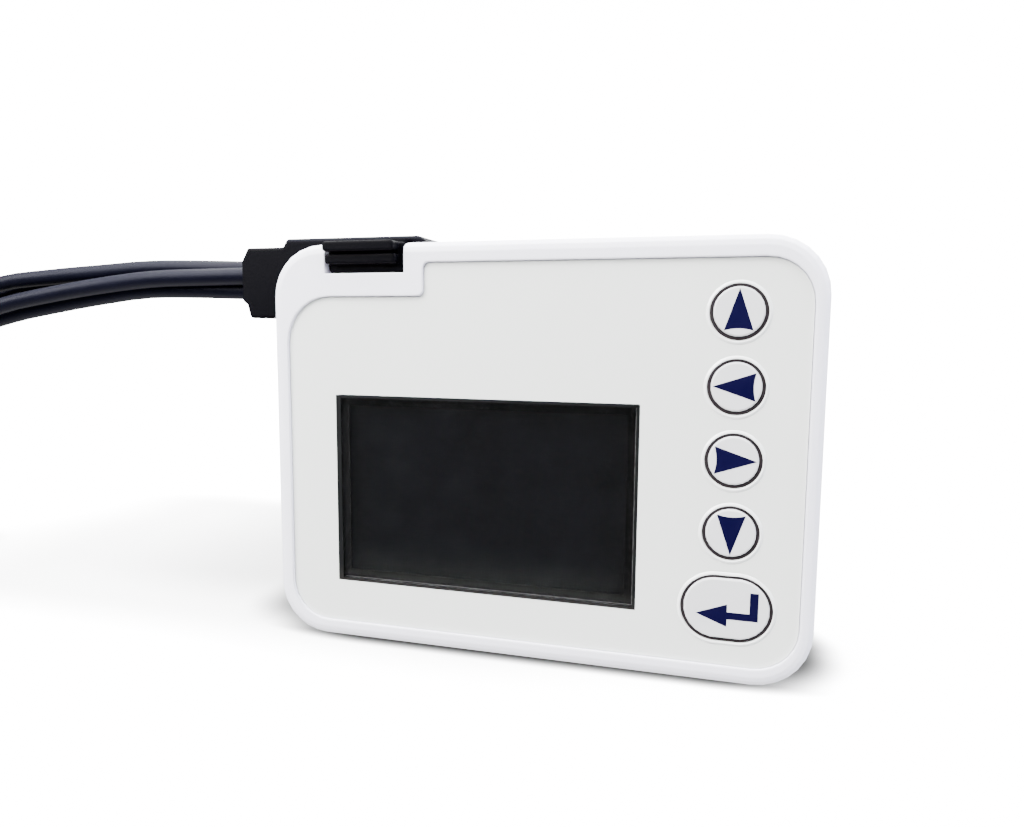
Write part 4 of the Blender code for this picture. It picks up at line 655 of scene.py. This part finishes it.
# %% [markdown]
# ### Parts inside the case
# These only show when the door slides off or the plug is pulled, or in a cut. Each still gets its own
# finish: solder mask with copper lines under it, epoxy, drawn steel, gold, amber film and a foil sleeve.
# The copper lines could be modelled, but they are only a fifth of a millimetre wide, so stripes do.
# %% Metals
bright_metal = make_finish("bright_metal", (0.55, 0.55, 0.57), 0.3, metallic=1.0)
add_grain(bright_metal, 0.0004, 0.000004, (0.22, 0.42), (0.12, 0.12, 0.12), 0.003)
METAL_NODES = ["battery_contact_negative", "battery_contact_positive", "battery_spring", "clock_crystal"]
METAL_NODES += ["clock_cell", "socket_shell", *("case_screw_%d" % (index + 1) for index in range(4))]
METAL_NODES += ["switch_" + key for key in KEY_NAMES]
dress(bright_metal, *METAL_NODES)
gold_metal = make_finish("gold_metal", (0.75, 0.50, 0.18), 0.28, metallic=1.0)
add_grain(gold_metal, 0.0003, 0.000003, (0.22, 0.36), (0.1, 0.12, 0.15), 0.002)
dress(gold_metal, "plug_contacts", "socket_pins")
print("metal parts", len(METAL_NODES))

# %% Plastics, chips and board
holder_black = make_finish("holder_black", (0.010, 0.010, 0.011), 0.55, specular_ior_level=0.3)
add_grain(holder_black, 0.0003, 0.000006, (0.5, 0.65), (0.2, 0.2, 0.2), 0.005)
dress(holder_black, "lcd_holder", "socket_insulator")
chip_black = make_finish("chip_black", (0.014, 0.014, 0.014), 0.6)
add_grain(chip_black, 0.00012, 0.000006, (0.5, 0.7), (0.25, 0.25, 0.25), 0.002)
dress(chip_black, "processor_chip", "ecg_amplifier_chip", "memory_chip", "buzzer")
light_guide = make_finish("light_guide", (0.72, 0.75, 0.72), 0.35, transmission_weight=0.3)
add_grain(light_guide, 0.0006, 0.000003, (0.3, 0.45), (0.03, 0.02, 0.03), 0.006)
dress(light_guide, "lcd_backlight")
flex_amber = make_finish("flex_amber", (0.42, 0.17, 0.03), 0.3)
add_grain(flex_amber, 0.0006, 0.000003, (0.24, 0.38), (0.1, 0.1, 0.1), 0.004)
add_stripes(flex_amber, "X", 0.0005, 0.5, (0.55, 0.27, 0.09))
dress(flex_amber, "lcd_flex")
board_green = make_finish("board_green", (0.010, 0.095, 0.035), 0.32)
add_grain(board_green, 0.0005, 0.000005, (0.26, 0.4), (0.3, 0.25, 0.3), 0.005)
add_stripes(board_green, "Z", 0.0009, 0.22, (0.030, 0.150, 0.050))
dress(board_green, "main_board")

# %% Sleeve of the cell
SLEEVE_DARK, CELL_STEEL = (0.035, 0.037, 0.045, 1), (0.55, 0.55, 0.57, 1)
SLEEVE_BANDS = (
    (0.02, (0.50, 0.50, 0.52, 1)), (0.045, SLEEVE_DARK),
    (0.74, (0.62, 0.33, 0.14, 1)), (0.955, CELL_STEEL),
)
cell_sleeve = make_finish("cell_sleeve", SLEEVE_DARK[:3], 0.28, metallic=0.6)
add_grain(cell_sleeve, 0.0006, 0.000003, (0.22, 0.34), (0.15, 0.15, 0.1), 0.006)
cell_low, cell_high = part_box("battery")
along_cell = map_range(cell_sleeve, object_axis(cell_sleeve, "X"), cell_low.x, cell_high.x, 0.0, 1.0)
sleeve_bands = add_node(cell_sleeve, "ValToRGB")
bands = sleeve_bands.color_ramp
bands.interpolation = "CONSTANT"
bands.elements[0].color = SLEEVE_DARK
bands.elements[1].position, bands.elements[1].color = SLEEVE_BANDS[0]
for position, colour in SLEEVE_BANDS[1:]:
    bands.elements.new(position).color = colour
join(
    cell_sleeve, along_cell, sleeve_bands.inputs[0],
    sleeve_bands.outputs[0], cell_sleeve.node_tree.nodes["Principled BSDF"].inputs["Base Color"],
)
dress(cell_sleeve, "battery")
print("undressed", [name for name in nodes if not nodes[name].material_slots])

# %% [markdown]
# ### Border of the window
# A band of black ink on the back of the window hides the ledge that carries it. In front of it, a fine
# pale line along the right and the lower side is a painted highlight on the window's edge. Both could be
# painted in the window's finish, but thin pieces have sharper edges. The band is a flat frame: a
# rectangle that is inset, loses its middle and gets a little thickness. The line is such a frame without
# its upper left corner.
# %% Band and line
border_ink = make_finish("border_ink", (0.002, 0.002, 0.002), 0.4, specular_ior_level=0.1)
add_grain(border_ink, 0.0004, 0.000002, (0.30, 0.42), (0.2, 0.2, 0.2), 0.004)
# Painted reflection: the ink is lighter on the left and low down, like the display behind it.
add_fade(border_ink, "X", window_low.x, window_low.x + BORDER_LIT_WIDTH, (0.0105, 0.0108, 0.0108))
add_fade(border_ink, "Z", *BORDER_LIT, (0.0170, 0.0170, 0.0158))
# Painted highlight: a pale line along the right and the lower edge of the window.
pale_line = make_finish("pale_line", (0.14, 0.14, 0.137), 0.4, specular_ior_level=0.2)
add_grain(pale_line, 0.0004, 0.000002, (0.35, 0.5), (0.25, 0.25, 0.25), 0.003)


def flat_frame(low, high, width, front, depth):
    """A rectangular frame, low and high being its outer corners in X and Z."""
    shape = bmesh.new()
    bmesh.ops.create_grid(shape, x_segments=1, y_segments=1, size=0.5)
    bmesh.ops.scale(shape, verts=shape.verts[:], vec=(high[0] - low[0], high[1] - low[1], 1))
    bmesh.ops.rotate(shape, verts=shape.verts[:], matrix=Matrix.Rotation(math.radians(90), 3, "X"))
    middle = ((low[0] + high[0]) / 2, front, (low[1] + high[1]) / 2)
    bmesh.ops.translate(shape, verts=shape.verts[:], vec=middle)
    inner = shape.faces[:]
    bmesh.ops.inset_region(shape, faces=inner, thickness=width, use_boundary=True, use_even_offset=True)
    bmesh.ops.delete(shape, geom=inner, context="FACES")
    grown = bmesh.ops.extrude_face_region(shape, geom=shape.faces[:])
    back = [item for item in grown["geom"] if isinstance(item, bmesh.types.BMVert)]
    bmesh.ops.translate(shape, verts=back, vec=(0, depth, 0))
    bmesh.ops.recalc_face_normals(shape, faces=shape.faces[:])
    return shape


def ride_on(piece, finish, body="recorder"):
    """Gives a piece its finish and says which body carries it."""
    piece.data.materials.append(finish)
    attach(piece, body)


BORDER_WIDTH, BORDER_INSET, INK_DEPTH = 0.0013, 0.00002, 0.00005
BORDER_FRONT, LINE_FRONT = window_high.y - 0.00020, window_high.y - 0.00025
border = keep_piece("window_border", flat_frame(
    (window_low.x + BORDER_INSET, window_low.z + BORDER_INSET),
    (window_high.x - BORDER_INSET, window_high.z - BORDER_INSET), BORDER_WIDTH, BORDER_FRONT, INK_DEPTH,
), smooth=False)
ride_on(border, border_ink)
LINE_SIDE_INSET, LINE_BASE_INSET, LINE_WIDTH, LINE_CUT = 0.00032, 0.00014, 0.00010, 0.001
line_shape = flat_frame(
    (window_low.x + LINE_SIDE_INSET, window_low.z + LINE_BASE_INSET),
    (window_high.x - LINE_SIDE_INSET, window_high.z - LINE_BASE_INSET),
    LINE_WIDTH, LINE_FRONT, INK_DEPTH,
)
top_left = [
    v for v in line_shape.verts
    if v.co.x < window_low.x + LINE_CUT and v.co.z > window_high.z - LINE_CUT
]
bmesh.ops.delete(line_shape, geom=top_left, context="VERTS")
bmesh.ops.holes_fill(line_shape, edges=[edge for edge in line_shape.edges if edge.is_boundary])
bmesh.ops.recalc_face_normals(line_shape, faces=line_shape.faces[:])
line = keep_piece("window_line", line_shape, smooth=False)
ride_on(line, pale_line)
print("window border", [round(1000 * x, 2) for x in (window_high.x - window_low.x, BORDER_WIDTH)])

# %% [markdown]
# The film is printed with a narrow dark edge round its opening, which makes the window look a little
# larger than it is. It is the same kind of frame, a layer of ink thick, and wider on the left.
# %% Printed edge of the film
print_ink = make_finish("print_ink", (0.0038, 0.0040, 0.0044), 0.5, specular_ior_level=0.1)
add_grain(print_ink, 0.0003, 0.000002, (0.45, 0.6), (0.2, 0.2, 0.2), 0.003)
# Painted reflection: the print is lighter low down, like the display.
add_fade(print_ink, "Z", *PRINT_LIT, (0.0100, 0.0098, 0.0095))
film_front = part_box("keypad_overlay")[0].y
SAME_PLACE = 0.00001
PRINT_WIDTH, PRINT_RAISE, PRINT_DEPTH = 0.00036, 0.00002, 0.00003
PRINT_LEFT, PRINT_BASE, PRINT_RIGHT, PRINT_TOP = 0.00042, 0.00026, 0.00012, 0.00003
print_low = (window_low.x - PRINT_LEFT, window_low.z - PRINT_BASE)
print_shape = flat_frame(
    print_low, (window_high.x + PRINT_RIGHT, window_high.z + PRINT_TOP), PRINT_WIDTH,
    film_front - PRINT_RAISE, PRINT_DEPTH,
)
inner_left = [v for v in print_shape.verts if abs(v.co.x - print_low[0] - PRINT_WIDTH) < SAME_PLACE]
bmesh.ops.translate(print_shape, verts=inner_left, vec=(PRINT_WIDTH, 0, 0))
film_print = keep_piece("film_print", print_shape, smooth=False)
ride_on(film_print, print_ink)
print("printed edge", [round(1000 * x, 2) for x in film_print.dimensions])

# %% [markdown]
# ### Rings round the keys
# Each key sits in a hole with a dark line round it, which is the shade in the gap: a dark ring fills the
# gap as painted shade. The film is lifted into a fine lip round the hole, and the light from above
# catches it. The lip's finish is lighter and glossier than the film, as a painted highlight. The lip lies
# a trace lower than the hole, so the dark line is narrower at the top. Both are turned shapes: a small
# section is spun round the axis of the key. For the wide key, the two halves are then moved apart.
# %% Painted gap shade and lips
# Painted shade: a dark ring that fills the gap round each key.
seal_dark = make_finish("seal_dark", (0.012, 0.008, 0.010), 0.55, specular_ior_level=0.2)
add_grain(seal_dark, 0.0002, 0.000008, (0.5, 0.65), (0.3, 0.3, 0.3), 0.002)
# Painted highlight: the lip is lighter and glossier than the film that it is made of.
lip_white = make_finish("lip_white", (0.88, 0.89, 0.88), 0.2, specular_ior_level=0.7, coat_weight=0.5)
add_grain(lip_white, 0.0002, 0.000003, (0.14, 0.24), (0.02, 0.02, 0.02), 0.004)
# The box of a key is that of its flange, which is wider than the cap by KEY_FLANGE all round. Each place
# is the middle of the key, the radius of its cap, how far each half is moved out, and its front.
KEY_FLANGE = 0.00073
KEY_PLACES = {}
for key in KEY_NAMES:
    low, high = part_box("button_" + key)
    tall, wide = (high.z - low.z) / 2, (high.x - low.x) / 2
    KEY_PLACES[key] = ((low + high) / 2, tall - KEY_FLANGE, wide - tall, low.y)
    print(key, [round(1000 * x, 2) for x in (*KEY_PLACES[key][0], *KEY_PLACES[key][1:])])


def turned_ring(centre, section, spread, steps=72):
    """Spins a closed section of (radius, y) about the axis of a key, and moves the halves by spread."""
    shape = bmesh.new()
    corners = [shape.verts.new((centre.x + radius, y, centre.z)) for radius, y in section]
    shape.edges.new((corners[-1], corners[0]))
    for start, end in zip(corners, corners[1:]):
        shape.edges.new((start, end))
    bmesh.ops.rotate(
        shape, cent=(centre.x, 0, centre.z), verts=shape.verts[:],
        matrix=Matrix.Rotation(math.pi / steps, 3, "Y"),
    )
    bmesh.ops.spin(
        shape, geom=shape.verts[:] + shape.edges[:], cent=(centre.x, 0, centre.z), axis=(0, 1, 0),
        angle=2 * math.pi, steps=steps, use_merge=True,
    )
    for side in (-1, 1):
        half = [v for v in shape.verts if (v.co.x - centre.x) * side > 0]
        bmesh.ops.translate(shape, verts=half, vec=(side * spread, 0, 0))
    bmesh.ops.recalc_face_normals(shape, faces=shape.faces[:])
    return shape


KEY_GAP, LIP_DROP = 0.00036, 0.00011
GAP_SHADE_START, GAP_SHADE_STEM, GAP_SHADE_RIM = 0.00002, 0.00001, 0.00006
for key, (centre, radius, spread, _) in KEY_PLACES.items():
    hole = radius + KEY_GAP
    inner, edge, outer = radius + GAP_SHADE_START, hole - GAP_SHADE_STEM, hole + GAP_SHADE_RIM
    # A ring of painted shade fills the gap between the key and its hole.
    gap_shade = turned_ring(centre, (
        (inner, film_front + 0.0004), (inner, film_front - 0.00002),
        (inner + 0.00006, film_front - 0.00005), (outer - 0.00006, film_front - 0.00005),
        (outer, film_front - 0.00001), (outer, film_front + 0.00005),
        (edge, film_front + 0.00006), (edge, film_front + 0.0004),
    ), spread)
    ride_on(keep_piece("key_seal_" + key, gap_shade), seal_dark)
    lip = turned_ring(centre - Vector((0, 0, LIP_DROP)), (
        (outer, film_front + 0.0001), (outer + 0.00002, film_front - 0.00008),
        (outer + 0.00008, film_front - 0.00013), (outer + 0.00015, film_front - 0.00012),
        (outer + 0.00028, film_front - 0.00004), (outer + 0.00042, film_front),
        (outer + 0.00042, film_front + 0.0001),
    ), spread)
    ride_on(keep_piece("key_lip_" + key, lip), lip_white)

# %% [markdown]
# ### Arrows on the keys
# The signs are printed in navy ink. They could be letters of a font of signs, but these arrows are
# slimmer. So each starts as a few corner points joined to one face, which then gets the thickness of
# the ink. The corners were measured on the picture, from the middle of each key.
# %% Arrows
navy_ink = make_finish("navy_ink", (0.0016, 0.0005, 0.0185), 0.5, specular_ior_level=0.08)
add_grain(navy_ink, 0.00015, 0.000002, (0.36, 0.48), (0.15, 0.15, 0.1), 0.003)
ARROW_LENGTH, ARROW_WIDTH, ARROW_HOLLOW, ARROW_FOOT = 0.00485, 0.0033, 0.00025, 0.45
SIGN_SINK, SIGN_THICKNESS = 0.00001, 0.00003
ARROW_TURNS = {"up": 0, "left": 90, "right": 270, "down": 180}


def arrow_corners():
    """A dart that points up, with a hollow foot."""
    foot = -ARROW_LENGTH * ARROW_FOOT
    steps = [step / 4 for step in range(-4, 5)]
    hollow = [(ARROW_WIDTH / 2 * step, foot + ARROW_HOLLOW * (1 - step ** 2)) for step in steps]
    return [(0, foot + ARROW_LENGTH), *hollow]


ENTER_CORNERS = (
    (-0.00355, -0.00080), (0.00010, -0.00220), (0.00010, -0.00126), (0.00368, -0.00126),
    (0.00368, 0.00222), (0.00270, 0.00222), (0.00270, -0.00038), (0.00010, -0.00038),
    (0.00010, 0.00058),
)


def ink_shape(corners, centre, face, turn_left):
    """A printed sign from its corners, turned by degrees and laid on the face of a key."""
    shape = bmesh.new()
    ring = [shape.verts.new((x, 0, z)) for x, z in corners]
    shape.faces.new(ring)
    bmesh.ops.rotate(
        shape, verts=shape.verts[:], matrix=Matrix.Rotation(math.radians(-turn_left), 3, "Y"),
    )
    bmesh.ops.translate(shape, verts=shape.verts[:], vec=(centre.x, face + SIGN_SINK, centre.z))
    grown = bmesh.ops.extrude_face_region(shape, geom=shape.faces[:])
    front = [item for item in grown["geom"] if isinstance(item, bmesh.types.BMVert)]
    bmesh.ops.translate(shape, verts=front, vec=(0, -SIGN_THICKNESS, 0))
    bmesh.ops.recalc_face_normals(shape, faces=shape.faces[:])
    return shape


for key, (centre, _, _, face) in KEY_PLACES.items():
    corners = ENTER_CORNERS if key == "enter" else arrow_corners()
    sign_shape = ink_shape(corners, centre, face, ARROW_TURNS.get(key, 0))
    ride_on(keep_piece("arrow_" + key, sign_shape, smooth=False), navy_ink, "key_" + key)
print("arrows", len(KEY_PLACES))

# %% [markdown]
# ### Snap connectors
# Each lead ends in a snap that clips on an electrode: a black button with a metal socket in its middle
# and a coloured ring that tells the leads apart. A torus would be too round for either, so a small
# section is turned round the middle of the button.
# %% Sockets and coloured rings
SNAP_COLOURS = (
    (0.62, 0.62, 0.60), (0.012, 0.012, 0.012), (0.30, 0.006, 0.006), (0.006, 0.12, 0.03),
    (0.07, 0.025, 0.010),
)
SNAP_RADIUS = 0.0053


def turned_button_ring(centre, section, steps=48):
    """Spins a closed section of (radius, z) about the upright axis of a snap."""
    shape = bmesh.new()
    corners = [shape.verts.new((centre[0] + radius, centre[1], z)) for radius, z in section]
    for start, end in zip(corners, [*corners[1:], corners[0]]):
        shape.edges.new((start, end))
    bmesh.ops.spin(
        shape, geom=shape.verts[:] + shape.edges[:], cent=(*centre, 0), axis=(0, 0, 1),
        angle=2 * math.pi, steps=steps, use_merge=True,
    )
    bmesh.ops.recalc_face_normals(shape, faces=shape.faces[:])
    return shape


for index, node in enumerate(SNAP_NODES):
    low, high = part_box(node)
    centre = (low.x + SNAP_RADIUS, (low.y + high.y) / 2)
    socket = keep_piece("snap_socket_%d" % (index + 1), turned_button_ring(centre, (
        (0.00186, high.z - 0.0021), (0.00186, high.z + 0.00008), (0.0021, high.z + 0.00008),
        (0.0022, high.z + 0.00016), (0.0017, high.z + 0.00020), (0.00145, high.z + 0.0001),
        (0.00140, high.z - 0.0003), (0.00155, high.z - 0.0009), (0.00155, high.z - 0.0021),
    )))
    ride_on(socket, bright_metal, "patient_cable")
    colour = make_finish("snap_colour_%d" % (index + 1), SNAP_COLOURS[index], 0.4)
    add_grain(colour, 0.0003, 0.000004, (0.34, 0.48), (0.08, 0.08, 0.08), 0.003)
    band = keep_piece("snap_band_%d" % (index + 1), turned_button_ring(centre, (
        (0.0029, high.z - 0.0001), (0.0029, high.z + 0.00006), (0.0030, high.z + 0.00012),
        (0.0040, high.z + 0.00012), (0.0041, high.z + 0.00006), (0.0041, high.z - 0.0001),
    )))
    ride_on(band, colour, "patient_cable")

# %% [markdown]
# ### Free end of the tie
# The hank is held by a hook-and-loop strap. Its free end laps over the side of the hank as a thin tab
# with round corners. A flat sheet gets its corners rounded, then its thickness, then soft edges.
# %% Tab of the tie
tie_low, tie_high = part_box("hank_tie")
TAB_WIDTH, TAB_LENGTH, TAB_THICKNESS, TAB_HEIGHT = 0.0072, 0.0098, 0.00045, 0.0098
TAB_CORNER, TAB_EDGE, TAB_SINK = 0.0018, 0.00015, 0.00002


def strap_tab(centre):
    """The tab of the tie. centre is the middle of its back."""
    shape = bmesh.new()
    bmesh.ops.create_grid(shape, x_segments=1, y_segments=1, size=0.5)
    bmesh.ops.scale(shape, verts=shape.verts[:], vec=(TAB_WIDTH, TAB_LENGTH, 1))
    bmesh.ops.rotate(shape, verts=shape.verts[:], matrix=Matrix.Rotation(math.radians(90), 3, "X"))
    bmesh.ops.translate(shape, verts=shape.verts[:], vec=centre)
    bmesh.ops.bevel(
        shape, geom=shape.verts[:], offset=TAB_CORNER, segments=6, profile=0.5, affect="VERTICES",
        offset_type="OFFSET", material=-1,
    )
    grown = bmesh.ops.extrude_face_region(shape, geom=shape.faces[:])
    front = [item for item in grown["geom"] if isinstance(item, bmesh.types.BMVert)]
    bmesh.ops.translate(shape, verts=front, vec=(0, -TAB_THICKNESS, 0))
    front_edges = [
        edge for edge in shape.edges
        if all(abs(v.co.y - (centre[1] - TAB_THICKNESS)) < SAME_PLACE for v in edge.verts)
    ]
    bmesh.ops.bevel(
        shape, geom=front_edges, offset=TAB_EDGE, segments=3, profile=0.5, affect="EDGES",
        offset_type="OFFSET", material=-1,
    )
    bmesh.ops.recalc_face_normals(shape, faces=shape.faces[:])
    return shape


tab_shape = strap_tab(((tie_low.x + tie_high.x) / 2, tie_low.y + TAB_SINK, TAB_HEIGHT))
tab = keep_piece("tie_tab", tab_shape, smooth=False)
ride_on(tab, tie_grey, "patient_cable")
print("tab", [round(1000 * x, 1) for x in tab.dimensions])

# %% [markdown]
# ## The leads on the cable
# Each lead rides on the body of the patient cable, and the CAD lead that it stands for is hidden. The
# last one also hides the block that holds the hank's place.
# %% Cords
for index, lead in enumerate(leads):
    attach(lead, "patient_cable")
    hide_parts(LEAD_NODES[index], *(["lead_hank"] if index == 4 else []))
